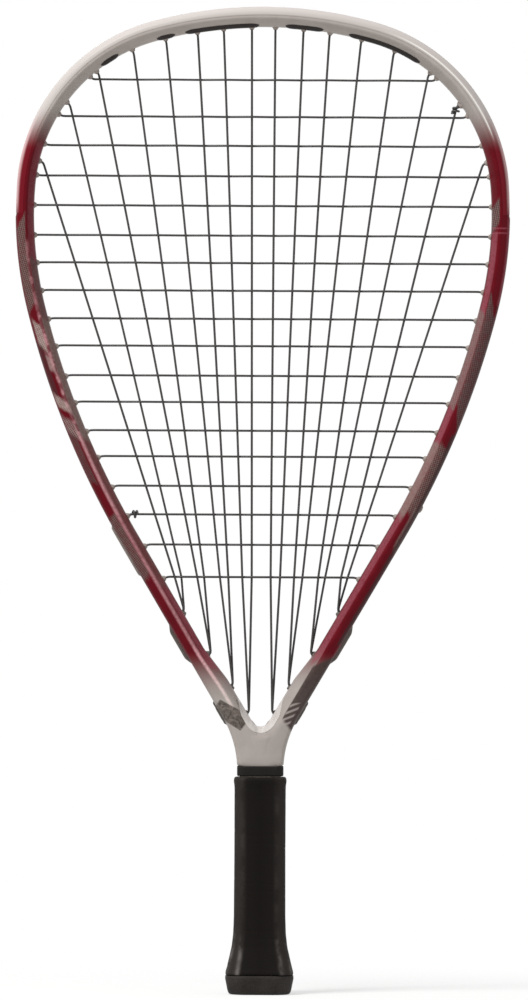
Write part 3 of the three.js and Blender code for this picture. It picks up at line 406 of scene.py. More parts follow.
def nub(h):
    """Grommet tube round one hole: a cone with a rolled tip that stands out of the hoop's inner face."""
    axis = along(h, 1)
    base = h["mouth"] - along(h, h["nub"] + PAST_NUB)
    tip = h["nub"]
    profile = [(-2.5, 1.85), (0, 1.85), (0.2 * tip, 1.8), (0.7 * tip, 1.35), (tip + 0.05, 1.2), (tip + 0.2, 1.0),
               (tip + 0.1, 0.85)]
    rings = np.stack([prism_ring(base, axis, r, 14, lift) for lift, r in profile])
    uv = np.full((len(profile), rings.shape[1] + 1, 2), NUB_UV)
    return rings, uv


# Finishes

SOCKETS = {"roughness": "Roughness", "ior": "IOR", "specular": "Specular IOR Level", "colour": "Base Color",
           "normal": "Normal"}


def linear(code):
    """An sRGB hex colour as linear values with full alpha."""
    parts = [int(code[k:k + 2], 16) / 255 for k in (1, 3, 5)]
    return tuple(p / 12.92 if p <= 0.04045 else ((p + 0.055) / 1.055) ** 2.4 for p in parts) + (1.0,)


def fill(tree, socket, value):
    """Links a socket to a node's output, or sets it to a value or to the colour of a hex code."""
    if isinstance(value, bpy.types.NodeSocket):
        tree.links.new(value, socket)
    else:
        socket.default_value = linear(value) if isinstance(value, str) else value


def add(tree, kind, inputs=(), **settings):
    """Adds a node with its settings and links, and gives its outputs. Inputs are values, hex colours or
    other nodes' outputs, in the order of the sockets, or by socket name or number."""
    made = tree.nodes.new("ShaderNode" + kind)
    for name, value in settings.items():
        setattr(made, name, value)
    for name, value in inputs.items() if isinstance(inputs, dict) else enumerate(inputs):
        fill(tree, made.inputs[name], value)
    return made.outputs


def dress(tree, surface, **shader):
    """Fills the shader's sockets."""
    for name, value in shader.items():
        fill(tree, surface.inputs[SOCKETS[name]], value)


def finish_of(name, **shader):
    """A material, its node tree and its shader with the values that are the same all over."""
    material = bpy.data.materials.new(name)
    material.use_nodes = True
    tree = material.node_tree
    surface = tree.nodes["Principled BSDF"]
    dress(tree, surface, **shader)
    return material, tree, surface


def product(tree, first, *others):
    """All values multiplied."""
    for other in others:
        first = add(tree, "Math", (first, other), operation="MULTIPLY")[0]
    return first


def window(tree, value, low, high, soft, high_soft=None):
    """1 between two values and 0 outside them. It changes along an S curve, as far on either side of each
    value as that is soft."""
    past = high_soft or soft
    rise = add(tree, "MapRange", (value, low - soft, low + soft), interpolation_type="SMOOTHSTEP")[0]
    fall = add(tree, "MapRange", (value, high - past, high + past, 1.0, 0.0), interpolation_type="SMOOTHSTEP")[0]
    return product(tree, rise, fall)


def coats(tree, ground, *layers):
    """A ground colour and what lies over it, layer by layer, each with the share that it covers."""
    for share, colour in layers:
        ground = add(tree, "Mix", {0: share, 6: ground, 7: colour}, data_type="RGBA")[2]
    return ground


def in_mm(tree, vector):
    """The three axes of a vector in metres, as millimetres."""
    scaled = add(tree, "VectorMath", {0: vector, "Scale": 1 / MM}, operation="SCALE")[0]
    return add(tree, "SeparateXYZ", (scaled,))


def grain(tree, surface, size_mm, strength, height_mm):
    """A fine random unevenness of the surface: cells of one size, raised by a height."""
    where = add(tree, "TexCoord")["Object"]
    cells = add(tree, "TexNoise", {"Vector": where, "Scale": 1 / (size_mm * MM), "Detail": 3.0})["Fac"]
    raised = add(tree, "Bump", {"Height": cells, "Strength": strength, "Distance": height_mm * MM})[0]
    dress(tree, surface, normal=raised)
    return cells


def moulding(name, grain_of, colours, rough=None, **shader):
    """A plain moulded finish: one grain raises it and shifts it between two colours and, where they are
    given, between two roughnesses."""
    material, tree, surface = finish_of(name, **shader)
    cells = grain(tree, surface, *grain_of)
    dress(tree, surface, colour=coats(tree, colours[0], (cells, colours[1])))
    if rough:
        dress(tree, surface, roughness=add(tree, "MapRange", (cells, 0.3, 0.7, *rough))[0])
    return material


RED, RED_DEEP, RED_PALE = "#640616", "#4c050e", "#8b4550"
SILVER, SILVER_LIGHT, PEARL = "#978f8a", "#a69e99", "#b3a09b"
SMOKE, SMOKE_DARK, SMOKE_PALE, SMOKE_RED = "#655351", "#38292a", "#7a6c66", "#67403f"
# Colours of the painted highlight along the ridge, over the red and over the silver
HIGHLIGHT_RED, HIGHLIGHT_SILVER = "#c9959a", "#d6c5c1"


def red_share(tree, z):
    """0 in the silver at the crown and the throat, 1 in the red between them."""
    return window(tree, z, 186.5, 490, 15, 13)


# Decals on the legs, and painted shade and painted highlights on their slopes, in millimetres: side, heights,
# depths inside the outline, how far the ends lean for each unit of depth, colour or pair of colours that are woven,
# strength
DECALS_AND_PAINTED_LIGHT = [
    # The first five paint the left leg's inner slope: painted shade in the smoky tones, painted light in the pale red
    ("left", (190, 241), (7.6, 14), 0.6, RED_PALE, 0.55),
    ("left", (235, 318), (6.8, 12), 0.6, SMOKE_RED, 0.75),
    ("left", (420, 486), (6.8, 12.5), 0.6, RED_PALE, 0.38),
    ("left", (386, 420), (6.8, 12), 0.6, SMOKE, 0.62),
    ("left", (318, 386), (6.8, 12), 0.6, SMOKE_PALE, 0.75),
    ("left", (383, 433), (0.8, 5.4), -1.6, (SMOKE_DARK, SMOKE_PALE), 0.8),
    ("left", (367.6, 383), (1.4, 5.2), 1.2, (SMOKE_PALE, PEARL), 0.8),
    ("left", (356, 365), (3, 6.2), 1, PEARL, 0.45),
    ("left", (340, 369), (-1, 3.2), 1, SMOKE_DARK, 0.6),
    ("left", (333.7, 340), (0.6, 7), 1, (SMOKE_PALE, PEARL), 0.85),
    ("left", (318, 328.1), (0.6, 6), 1, (SMOKE_DARK, PEARL), 0.65),
    ("left", (290, 319), (0.6, 4), 0.8, (SMOKE_DARK, SMOKE), 0.6),
    ("left", (233, 267), (-1, 5), -1, (SMOKE_DARK, SMOKE_PALE), 0.7),
    # Painted highlight on the right leg's inner slope, which faces the light
    ("right", (195, 438), (6.8, 9.7), 0.8, RED_PALE, 0.72),
    ("right", (446, 460), (6, 12), 1.5, (SMOKE_DARK, SMOKE_PALE), 0.85),
    # Painted highlight along the right leg's outer edge
    ("right", (390, 440), (-1, 1.6), 0, RED_PALE, 0.5),
    ("right", (326, 380), (6.6, 12), -0.8, (SMOKE, SMOKE_PALE), 0.75),
    ("right", (318, 380), (-1, 6.4), -2.8, (SMOKE_DARK, SMOKE), 0.88),
    ("right", (264, 306), (6.4, 12), -0.8, SMOKE_PALE, 0.75),
    ("right", (268, 306), (-1, 6.4), -1, (SMOKE_DARK, SMOKE_PALE), 0.8),
    ("right", (248, 270), (-1, 3.4), -2, (SMOKE, SMOKE_PALE), 0.7),
    ("right", (198, 318), (-1, 2.4), 0, SMOKE_DARK, 0.8),
    ("right", (433.5, 434.3), (1, 10), 0, RED_PALE, 0.7),
    ("right", (430.8, 431.6), (1, 10), 0, RED_PALE, 0.7),
]
# Painted highlight along the ridge of the left leg: heights in millimetres and strength
RIDGE_HIGHLIGHT = [((160, 196), 1), ((196, 245), 0.6), ((245, 270), 0.55), ((270, 300), 0.75),
        ((300, 318), 0.7), ((318, 386), 0.8), ((386, 425), 0.46)]
# A decal that is less high than this has sharp ends
THIN_DECAL = 2
# Twill threads: millimetres apart, coarser than real cloth so that they show, and degrees
THREAD_PITCH, THREAD_ANGLE = 1.5, 35


def lacquered_composite():
    """Graphite composite under gloss lacquer: silver at the crown and the throat, airbrushed into deep
    red, with woven, smoked and pearl decals on the legs, painted shade and highlights on their slopes and a painted
    highlight along the left leg's ridge."""
    material, tree, surface = finish_of("lacquered_graphite_composite", specular=0.08)
    where = add(tree, "TexCoord")["Object"]
    x, _, z = in_mm(tree, where)
    s, u, _ = in_mm(tree, add(tree, "UVMap", uv_map="run")[0])
    sides = {"right": add(tree, "Math", (x, 0.0), operation="GREATER_THAN")[0],
             "left": add(tree, "Math", (x, 0.0), operation="LESS_THAN")[0]}
    mottle = add(tree, "TexNoise", {"Vector": where, "Scale": 160.0, "Detail": 4.0})["Fac"]
    speck = add(tree, "TexNoise", {"Vector": where, "Scale": 620.0, "Detail": 3.0})["Fac"]

    def tilted(lean):
        """Height plus a share of the depth inside the outline."""
        return add(tree, "Math", (u, lean, z), operation="MULTIPLY_ADD")[0]

    # The red runs 7 mm lower on the left leg, and on the right leg outside its ridge
    outside = add(tree, "Math", (u, 6.6), operation="LESS_THAN")[0]
    low_down = add(tree, "Math", (z, 300.0), operation="LESS_THAN")[0]
    lower = product(tree, add(tree, "Math", (sides["left"], outside), operation="MAXIMUM")[0], low_down)
    reds = red_share(tree, add(tree, "Math", (lower, 7.0, z), operation="MULTIPLY_ADD")[0])
    silver = coats(tree, SILVER, (mottle, SILVER_LIGHT))
    paint = coats(tree, silver, (reds, coats(tree, RED_DEEP, (mottle, RED))))

    def thread(degrees):
        """A wave across threads that lie at an angle."""
        angle = math.radians(degrees)
        across = product(tree, u, math.sin(angle))
        across = add(tree, "Math", (s, math.cos(angle), across), operation="MULTIPLY_ADD")[0]
        return add(tree, "Math", (product(tree, across, 2 * math.pi / THREAD_PITCH),), operation="SINE")[0]

    crossed = product(tree, thread(THREAD_ANGLE), thread(THREAD_ANGLE - 90))
    weave = add(tree, "Math", (crossed, 0.7, 0.45), operation="MULTIPLY_ADD", use_clamp=True)[0]
    ragged = add(tree, "Math", (mottle, 6.0, -3.0), operation="MULTIPLY_ADD")[0]
    patchy = add(tree, "MapRange", (speck, 0.36, 0.56, 0.7, 1.0))[0]
    # Decals, painted shade and painted highlights, each laid over the paint
    for side, heights, depths, lean, colour, strength in DECALS_AND_PAINTED_LIGHT:
        end, soft = add(tree, "Math", (tilted(lean), ragged), operation="ADD")[0], 1.8
        if heights[1] - heights[0] < THIN_DECAL:
            end, soft = z, 0.4
        ends = window(tree, end, *heights, soft)
        mask = product(tree, ends, window(tree, u, *depths, 0.5), sides[side], patchy, strength)
        shade = coats(tree, colour[0], (weave, colour[1])) if isinstance(colour, tuple) else colour
        paint = coats(tree, paint, (mask, shade))

    # Painted highlight on the ridge, which lies deeper where the tube widens towards the throat. High up it comes in
    # spots
    crest = add(tree, "MapRange", (z, 172.3, 190.3, RIDGE_SHARE * THROAT_WIDTH, RIDGE_SHARE * SIDE_WIDTH))[0]
    ridge = window(tree, add(tree, "Math", (u, crest), operation="SUBTRACT")[0], -0.6, 1.1, 0.8)
    highlight_strength = 0.0
    for heights, strength in RIDGE_HIGHLIGHT:
        stretch = window(tree, z, *heights, 4.0)
        highlight_strength = add(tree, "Math", (stretch, strength, highlight_strength), operation="MULTIPLY_ADD")[0]
    whole = add(tree, "Math", (z, 318.0), operation="LESS_THAN")[0]
    spots = add(tree, "MapRange", (mottle, 0.44, 0.56, 0.25, 1.0))[0]
    spots = add(tree, "Math", (spots, whole), operation="MAXIMUM")[0]
    ridge_highlight = product(tree, ridge, sides["left"], spots, highlight_strength, patchy)

    # Smoked band low on the right leg, with pale slanted bars 3.1 mm apart
    above = add(tree, "MapRange", (tilted(-0.9), 147.8, 150.2), interpolation_type="SMOOTHSTEP")[0]
    below = add(tree, "MapRange", (tilted(0.7), 190.0, 192.4, 1.0, 0.0), interpolation_type="SMOOTHSTEP")[0]
    smoked = product(tree, above, below, window(tree, u, -1, 7.7, 0.4), sides["right"], 0.95)
    slant = add(tree, "Math", (x, -0.4, z), operation="MULTIPLY_ADD")[0]
    slant = add(tree, "Math", (slant, 3.1), operation="DIVIDE")[0]
    slant = add(tree, "Math", (slant,), operation="FRACT")[0]
    bars = product(tree, window(tree, slant, 0.3, 0.7, 0.12), window(tree, z, 152.5, 165, 0.5),
                   window(tree, u, 2.6, 7.4, 0.4), sides["right"], 0.75)

    # Smoked and marbled patch with five sides low on the left leg
    patch = product(tree, window(tree, tilted(-0.9), 144, 163.4, 0.6), window(tree, tilted(0.9), 154.5, 170.2, 0.6),
                    window(tree, u, -1, 10.2, 0.4), sides["left"], 0.92)
    marble = add(tree, "TexNoise", {"Vector": where, "Scale": 420.0, "Detail": 5.0, "Distortion": 1.0})["Fac"]
    veins = add(tree, "MapRange", (marble, 0.34, 0.74))[0]
    # Painted highlight on the ridge, then the smoked band, its bars and the marbled patch
    paint = coats(tree, paint, (ridge_highlight, coats(tree, HIGHLIGHT_SILVER, (reds, HIGHLIGHT_RED))),
                  (smoked, coats(tree, "#352a28", (speck, "#4e423e"))), (bars, "#a39995"),
                  (patch, coats(tree, "#342c29", (veins, "#7b716a"))))
    dress(tree, surface, colour=paint, roughness=add(tree, "MapRange", (mottle, 0.3, 0.7, 0.28, 0.40))[0],
          normal=add(tree, "Bump", {"Height": mottle, "Strength": 0.15, "Distance": 0.05 * MM})[0])
    return material


def clear_nylon():
    """Natural nylon 66 moulding, milky and half clear: its rim stays pale, and its thin skin takes on the
    silver or the red beneath it."""
    material, tree, surface = finish_of("milky_nylon_66", roughness=0.38, ior=1.53, specular=0.12)
    cells = grain(tree, surface, 2.2, 0.2, 0.05)
    x, _, z = in_mm(tree, add(tree, "TexCoord")["Object"])
    _, u, _ = in_mm(tree, add(tree, "UVMap", uv_map="run")[0])
    red = red_share(tree, z)
    # The skin thins out at both ends
    lasts = add(tree, "MapRange", (z, 438, 450), interpolation_type="SMOOTHSTEP")[0]
    rim = coats(tree, RED, (lasts, coats(tree, "#bbb4b0", (red, "#c09a9b"))))
    # The pale rim narrows from the crown down to the shoulders
    narrowed = product(tree, u, add(tree, "MapRange", (z, 505, 540, 1.5, 1.0))[0])
    inward = add(tree, "MapRange", (narrowed, 0.8, 3.4), interpolation_type="SMOOTHSTEP")[0]
    edge = add(tree, "MapRange", (u, 3.8, 5.0), interpolation_type="SMOOTHSTEP")[0]
    # Painted highlight: a bright line where the skin folds over the right shoulder
    on_right = add(tree, "Math", (x, 0.0), operation="GREATER_THAN")[0]
    painted_highlight_line = product(tree, window(tree, u, 3.1, 3.8, 0.3), window(tree, z, 488, 541, 6), on_right)
    in_barrel = add(tree, "Math", (u, 0.75 * NUB_UV / MM), operation="GREATER_THAN")[0]
    colour = coats(tree, rim, (inward, coats(tree, "#b3aca8", (red, RED))), (edge, coats(tree, SILVER, (red, RED))),
                   (painted_highlight_line, "#dedad5"), (in_barrel, coats(tree, "#857a76", (cells, "#a0968f"))))
    dress(tree, surface, colour=colour)
    return material


FILAMENTS, FILAMENT_LEAD = 6, 3


def string_gut():
    """Multifilament nylon gut in black: a clear coat over six fine wound filaments, 0.5 mm apart so that
    they show close up, which wind round the string at a slant."""
    material, tree, surface = finish_of("black_multifilament_nylon", roughness=0.45, ior=1.53, specular=0.4)
    length, turn, _ = add(tree, "SeparateXYZ", (add(tree, "UVMap", uv_map="run")[0],))
    wound = add(tree, "Math", (length, 1 / (FILAMENT_LEAD * MM), turn), operation="MULTIPLY_ADD")[0]
    wave = add(tree, "Math", (product(tree, wound, 2 * math.pi * FILAMENTS),), operation="SINE")[0]
    fade = add(tree, "TexNoise", {"Vector": add(tree, "TexCoord")["Object"], "Scale": 120.0, "Detail": 2.0})["Fac"]
    dress(tree, surface, colour=coats(tree, "#2a2828", (fade, "#3a3736")),
          normal=add(tree, "Bump", {"Height": wave, "Strength": 0.12, "Distance": 0.01 * MM})[0])
    return material


def grip_leather():
    """Perforated synthetic leather, wound and pressed: matt black with a fine pebbled grain, darkest in the
    middle of each flat face, with dust and painted sheen greyer towards the bevels and painted highlights on the
    flare's edges."""
    material, tree, surface = finish_of("black_polyurethane_grip", ior=1.5, specular=0.06)
    where = add(tree, "TexCoord")["Object"]
    pebble = add(tree, "TexVoronoi", {"Vector": where, "Scale": 1 / (1.1 * MM)}, feature="SMOOTH_F1")["Distance"]
    wide = add(tree, "TexNoise", {"Vector": where, "Scale": 110.0, "Detail": 5.0})["Fac"]
    height = add(tree, "Math", (wide, 1.5, pebble), operation="MULTIPLY_ADD")[0]
    turn, z, _ = add(tree, "SeparateXYZ", (add(tree, "UVMap", uv_map="run")[0],))
    # Quarter turns from the middle of a flat face: 0 there and 1 in the middle of a bevel
    quarters = add(tree, "Math", (turn, 4.0, 0.55), operation="MULTIPLY_ADD")[0]
    folded = add(tree, "Math", (quarters,), operation="FRACT")[0]
    folded = add(tree, "Math", (folded, 0.5), operation="SUBTRACT")[0]
    off_face = product(tree, add(tree, "Math", (folded,), operation="ABSOLUTE")[0], 2.0)
    # Dust, and painted sheen that greys each face towards its bevels
    dust = add(tree, "Math", (wide, 1.1, 0.45), operation="MULTIPLY_ADD")[0]
    dust_and_bevel_sheen = add(tree, "Math", (off_face, dust), operation="MULTIPLY", use_clamp=True)[0]
    # Painted highlights on the bevels low on the flare
    flare = add(tree, "MapRange", (z, 0.024, 0.036, 0.8, 0.08))[0]
    streaks = add(tree, "MapRange", (wide, 0.46, 0.66))[0]
    streaks = add(tree, "Math", (streaks, 0.75, 0.08), operation="MULTIPLY_ADD")[0]
    flare_highlight = product(tree, window(tree, off_face, 0.36, 0.8, 0.2), flare, streaks)
    dress(tree, surface, colour=coats(tree, "#120f0d", (dust_and_bevel_sheen, "#2b2725"), (flare_highlight, "#6f6a67")),
          roughness=add(tree, "MapRange", (wide, 0.3, 0.7, 0.42, 0.66))[0],
          normal=add(tree, "Bump", {"Height": height, "Strength": 0.5, "Distance": 0.12 * MM})[0])
    return material


def cap_rubber():
    """Moulded thermoplastic rubber, spark-eroded finish: matt black, greyer low down where hands and
    floors rub it."""
    material, tree, surface = finish_of("black_moulded_rubber", roughness=0.55, ior=1.5, specular=0.1)
    cells = grain(tree, surface, 0.7, 0.35, 0.05)
    where = add(tree, "TexCoord")["Object"]
    wide = add(tree, "TexNoise", {"Vector": where, "Scale": 90.0, "Detail": 4.0})["Fac"]
    _, _, z = in_mm(tree, where)
    grey = product(tree, cells, wide, add(tree, "MapRange", (z, 30, 100, 1.0, 0.25))[0])
    dress(tree, surface, colour=coats(tree, "#151312", (grey, "#4f4945")))
    return material


PAINT = lacquered_composite()
# ABS moulding under silver lacquer: even, with the slight waviness of a small moulding. Its silver is lighter than
# the frame's, partly its own and partly a painted highlight on the rim that faces the light above
BRIDGE = moulding("silver_lacquered_abs", (5, 0.15, 0.05), ("#b8b2ae", "#c6c0bc"), roughness=0.35, specular=0.2)
MILKY = clear_nylon()
# Nylon 66 tinted grey-brown, half clear: soft, with a slight shine on its ribs
SMOKY = moulding("smoky_nylon_66", (1.8, 0.25, 0.05), ("#7d726c", "#978c85"), roughness=0.42, ior=1.53, specular=0.3)
# The same nylon in a darker tint, lighter and rougher in patches of its grain
DARK = moulding("dark_nylon_66", (2.5, 0.3, 0.06), ("#453e3a", "#6c645e"), (0.38, 0.6), ior=1.53, specular=0.3)
# Black elastomer strip pressed on the inside of the crown: matt and soft
STRIP = moulding("black_elastomer", (0.8, 0.3, 0.04), ("#1c1817", "#2e2826"), roughness=0.6, ior=1.5, specular=0.25)
GUT = string_gut()
LEATHER = grip_leather()
RUBBER = cap_rubber()
# Rigid polyurethane foam, moulded: buff, with fine closed cells at its skin
FOAM = moulding("rigid_polyurethane_foam", (0.6, 0.5, 0.1), ("#857c6c", "#a39a88"), roughness=0.85, ior=1.5)

# Frame

WEB_START, WEB_RISE, WEB_SINK, WEB_HALF_DEPTH, WEB_PROUD, WEB_EDGE_DROP = 3.0, 8, 0.45, 6.5, 0.06, 2.0
BRIDGE_RISE, BRIDGE_RUN_OUT, BRIDGE_THICKNESS, BRIDGE_END_THICKNESS = 13.4, 9, 3.4, 0.5
BRIDGE_HALF_DEPTH, BRIDGE_RIM_DROP, BRIDGE_PROUD, BRIDGE_END_PROUD = 4.6, 1.9, 0.32, 0.12
SEAM_OVERLAP = 0.01


def frame_corners(s):
    """Corners of the tube's front half from the groove outside to the inner edge, as pairs of depth inside
    the outline and height in front. Where the legs join, the inner slope flattens until it is level."""
    w, g, share, d = width(s), inset(s), legs_share(outline(s)[1]), half_depth(s)
    apart = 1 - share
    return [(g, d - FACE_DROP), (g + EDGE_RUN, d - EDGE_DROP), (RIDGE_SHARE * w, d),
            (w - INNER_RUN * apart - share, d - INNER_DROP * apart), (w, d - INNER_FACE_DROP * apart)]


def frame_shell():
    """The hoop and shaft: a tube with a ridge on each face and a groove outside, carried along the outline."""
    low = stations(s_at_z(HANDLE_INSET_Z) + INSET_STEP, END_S, 12)
    half = np.concatenate([stations(0, s_at_z(HANDLE_INSET_Z) - 0.2, 1.5), low])
    s = np.concatenate([-half[:0:-1], half])
    _, z, _, _ = outline(s)
    g, share = inset(s), legs_share(z)
    groove = np.where(z > OPENING_Z - GROOVE_END_DROP, GROOVE_DEPTH, g + SEAM_OVERLAP)
    # The left half lies a hair deeper where both halves overlap
    faces = [(u, v - SEAM_OVERLAP * share * (s < 0)) for u, v in frame_corners(s)]
    half = [(groove, GROOVE_HALF - 0.05), (g, GROOVE_HALF), *faces]
    return around(s, half, [0.2, 0.3, 1.1, 1.0, 1.5 + 3.5 * share, 1.6, 1.4])


def opening_path(out, rise):
    """The line round the bottom of the opening, as points of x and z with their outward normals, at a
    distance outside its edge: down one leg, round the bottom and up the other."""
    start = math.asin(-LEG_NZ)
    turn = np.linspace(start, math.pi - start, 25)
    nx, nz = np.cos(turn), -np.sin(turn)
    radius = OPENING_RADIUS + out
    bottom = np.stack([radius * nx, OPENING_Z + radius * nz, nx, nz])
    lift = np.linspace(1, 0, 12)[:-1] * rise
    leg = np.stack([bottom[0, 0] + lift * math.tan(LEG_LEAN), bottom[1, 0] + lift])
    other = leg[:, ::-1] * [[-1], [1]]
    legs = [np.concatenate([side, np.repeat(bottom[2:, [at]], len(lift), 1)]) for side, at in ((leg, 0), (other, -1))]
    return np.concatenate([legs[0], bottom, legs[1]], 1)


def band(out, rise, half, radii):
    """A section of distance outwards and height in front, carried along the opening's edge."""
    xs, zs, nxs, nzs = opening_path(out, rise)
    flat = whole_section(half, radii)
    o, v = flat[..., 0], flat[..., 1]
    points = np.stack([xs[:, None] + nxs[:, None] * o, -v, zs[:, None] + nzs[:, None] * o], -1)
    closed = np.concatenate([flat, flat[:, :1]], 1)
    uv = np.stack([np.broadcast_to(zs[:, None], closed.shape[:2]), closed[..., 0] + 9], -1) * MM
    return points, uv


def smooth(t):
    """0 below 0, 1 above 1 and the S curve tt(3-2t) between them."""
    t = np.clip(t, 0, 1)
    return t * t * (3 - 2 * t)


def leg_face(x, z):
    """Height of the nearest leg's front face at points of the throat, and how far the points lie inside
    its ridge: straight lines between the corners of the tube's section at the nearest place outside."""
    near = (Z_TABLE < OPENING_Z + 60) & (np.arange(len(Z_TABLE)) % 20 == 0)
    apart = (np.abs(x)[..., None] - X_TABLE[near]) ** 2 + (z[..., None] - Z_TABLE[near]) ** 2
    s, u = S_TABLE[near][apart.argmin(-1)], np.sqrt(apart.min(-1))
    corners = frame_corners(s)
    v = corners[0][1]
    for (u0, v0), (u1, v1) in zip(corners, corners[1:]):
        v = np.where(u > u0, v0 + (v1 - v0) * np.clip((u - u0) / (u1 - u0), 0, 1), v)
    return v, u - corners[2][0]


def down_share(nzs):
    """0 where the opening's edge is a leg, 1 at its bottom."""
    return np.clip((-nzs + LEG_NZ) / (1 + LEG_NZ), 0, 1)


def web_face(out, x, z, down):
    """Height of the web's front face at a distance outside the opening's edge: level with the ridges,
    rounded off towards the opening, and sunk into the legs at their ridges and where they have joined."""
    v = half_depth_at(z) + WEB_PROUD - WEB_EDGE_DROP * (1 - smooth((out - 2.4) / 5))
    leg, inside = leg_face(x, z)
    v = np.where(inside > 0, v - WEB_SINK * (1 - smooth(inside / 3)), np.minimum(v, leg) - WEB_SINK)
    v = v - 0.3 * smooth((out - 14) / 7)
    return WEB_HALF_DEPTH + (v - WEB_HALF_DEPTH) * smooth(2.0 * down)


def web_body():
    """The solid fill between the legs: a plate round the opening's bottom whose faces lie level with the
    ridges below it and dip into both legs at its sides."""
    xs, zs, nxs, nzs = opening_path(WEB_START, WEB_RISE)
    down = down_share(nzs)
    share = np.array([0, 0.06, 0.12, 0.18, 0.25, 0.33, 0.42, 0.52, 0.64, 0.78, 0.9, 1])[:, None]
    o = share * (5 + 18 * down ** 2)
    v = web_face(o + WEB_START, xs + nxs * o, zs + nzs * o, down) - 1.5 * (share == 1)
    return band(WEB_START, WEB_RISE, list(zip(o, v)), [0.3, *[0.2] * 10, 0.4])


def bridge_body():
    """The moulded bridge: a bevelled band that lines the opening's bottom, rising from its inner edge to
    the faces of the web, and running out up both legs just proud of them."""
    xs, zs, nxs, nzs = opening_path(0, BRIDGE_RISE)
    down = down_share(nzs)
    ends = smooth((zs.max() - zs) / BRIDGE_RUN_OUT)
    thick = BRIDGE_END_THICKNESS + (BRIDGE_THICKNESS - BRIDGE_END_THICKNESS) * ends
    proud = BRIDGE_END_PROUD + (BRIDGE_PROUD - BRIDGE_END_PROUD) * ends
    rows = []
    for share in (0, 0.38, 0.765, 1):
        o = share * thick
        x, z = xs + nxs * o, zs + nzs * o
        bevel = BRIDGE_HALF_DEPTH + (half_depth_at(z) - BRIDGE_RIM_DROP - BRIDGE_HALF_DEPTH) * share ** 0.8
        rim = web_face(o, x, z, down) if share == 1 else bevel
        v = np.maximum(leg_face(x, z)[0], np.maximum(bevel, rim) * (down > 0)) + proud
        rows.append((o - 0.1 * (share == 0), v))
    rows.append((thick + 0.25, rows[-1][1] - 1.2))
    return band(0, BRIDGE_RISE, rows, [0.8, 0.5, 0.5, 0.5, 0.2])


piece("racket_frame", [frame_shell(), web_body()], PAINT, ["frame"], sharp=60)
piece("throat_bridge_moulding", [bridge_body()], BRIDGE, ["throat_bridge"])

# Bumper guard, strips and string guards


def bumper_body():
    """The guard over the crown: a floor in the groove under the strings, two side ribs and a skin that
    wraps over both edges of the tube, thinner towards its ends."""
    end = BUMPER_END_S - GAP
    s = stations(-end, end, 1.6)
    g, d = inset(s), half_depth(s)
    share = (g - GAP) / BUMPER_THICKNESS
    slope_u, slope_v = unit(np.array([EDGE_RUN, FACE_DROP - EDGE_DROP]))
    lip = GAP + 0.9 * share
    rib = np.minimum(g - GAP - 0.5, 0) + 0.5 - 0.5 * share

    def shift(u, v, out):
        """A point moved out of the tube's slanted face."""
        return u - slope_v * out, v + slope_u * out

    low, high, ridge = frame_corners(s)[:3]
    feather = (high[0] + 0.55 * (ridge[0] - high[0]), high[1] + 0.55 * EDGE_DROP + 0.12)
    half = [(FLOOR_TOP + 0 * s, CHANNEL_HALF), (0 * s, CHANNEL_HALF), (0 * s, d - 4.5), shift(*low, lip + 0.25),
            shift(*high, 0.75 * lip), feather, shift(*high, 0.05), shift(*low, 0.1), (g - GAP, STRIP_HALF),
            (FLOOR_BOTTOM + 0 * s, STRIP_HALF)]
    half = [(np.maximum(u, rib + 0.02), v) for u, v in half]
    return around(s, half, [0.2, 0.5, 1.2, 1.2, 1.0, 0.05, 0.1, 0.3, 0.1, 0.1])


def strip_body(s, floor, rib):
    """A channel in the groove: a floor under the strings and a rib on each side, of a height along its length."""
    half = [(floor + 0 * s, CHANNEL_HALF), (rib, CHANNEL_HALF), (rib, STRIP_HALF), (FLOOR_BOTTOM + 0 * s, STRIP_HALF)]
    return around(s, half, [0.15, 0.5, 0.6, 0.2])


def rise_between(s, low, high, run, base, full):
    """Height of a rib that swells smoothly from its base to its full height between two places."""
    a = np.abs(s)
    return base + (full - base) * smooth(np.minimum(a - low, high - a) / run)


def side_strip(side, shares):
    """A grommet strip from the bumper guard to past the last cross, with a pad between two crosses."""
    low, high = s_at_z(BUMPER_END_Z - 1.5), s_at_z(LAST_CROSS_Z - 11.6)
    s = stations(low, high, 1.6) * side["side"]
    pad = s_at_z(range_z(np.array(shares)))
    return strip_body(s, FLOOR_TOP, rise_between(s, pad[0], pad[1], 4, 1.2, -1))


def string_guard(side, pairs, past, proud):
    """A guard over two pairs of low holes that runs past them and stands proud of the outline."""
    heights = [OPENING_Z + MAIN_LOW_OUT[k] for k in pairs]
    low, high = s_at_z(heights[1] + past[0]), s_at_z(heights[0] - past[1])
    s = stations(low, high, 0.8) * side["side"]
    return strip_body(s, GUARD_FLOOR, rise_between(s, low, high, 7, 0.3, -proud))


def with_nubs(body, holes):
    """The tubes of a moulding: its body and the grommet of each hole."""
    return [body, *[nub(h) for h in holes]]


BUMPER_CROSSES = 5
bumper_holes = [h for side in (RIGHT, LEFT) for h in side["top"] + side["cross"][:BUMPER_CROSSES]] + [MAIN_TAIL]
piece("bumper_guard_moulding", with_nubs(bumper_body(), bumper_holes), MILKY, ["bumper_guard"])
for label, side, shares, tails in (("right", RIGHT, (0.845, 0.874), []),
                                   ("left", LEFT, (0.888, 1.002), [CROSS_TAIL])):
    tubes = with_nubs(side_strip(side, shares), side["cross"][BUMPER_CROSSES:] + tails)
    piece(f"side_strip_{label}_moulding", tubes, SMOKY, [f"side_strip_{label}"])
    for level, holes, pairs, past, proud in (("upper", side["low"][4:], (2, 3), (5.9, 4.9), 1.9),
                                             ("lower", side["low"][:4], (0, 1), (4.2, 5.2), 1.2)):
        tubes = with_nubs(string_guard(side, pairs, past, proud), holes)
        piece(f"{level}_string_guard_{label}_moulding", tubes, DARK, [f"{level}_string_guard_{label}"])

# Black strips on the inside of the crown, between x places in millimetres, tapered at both ends

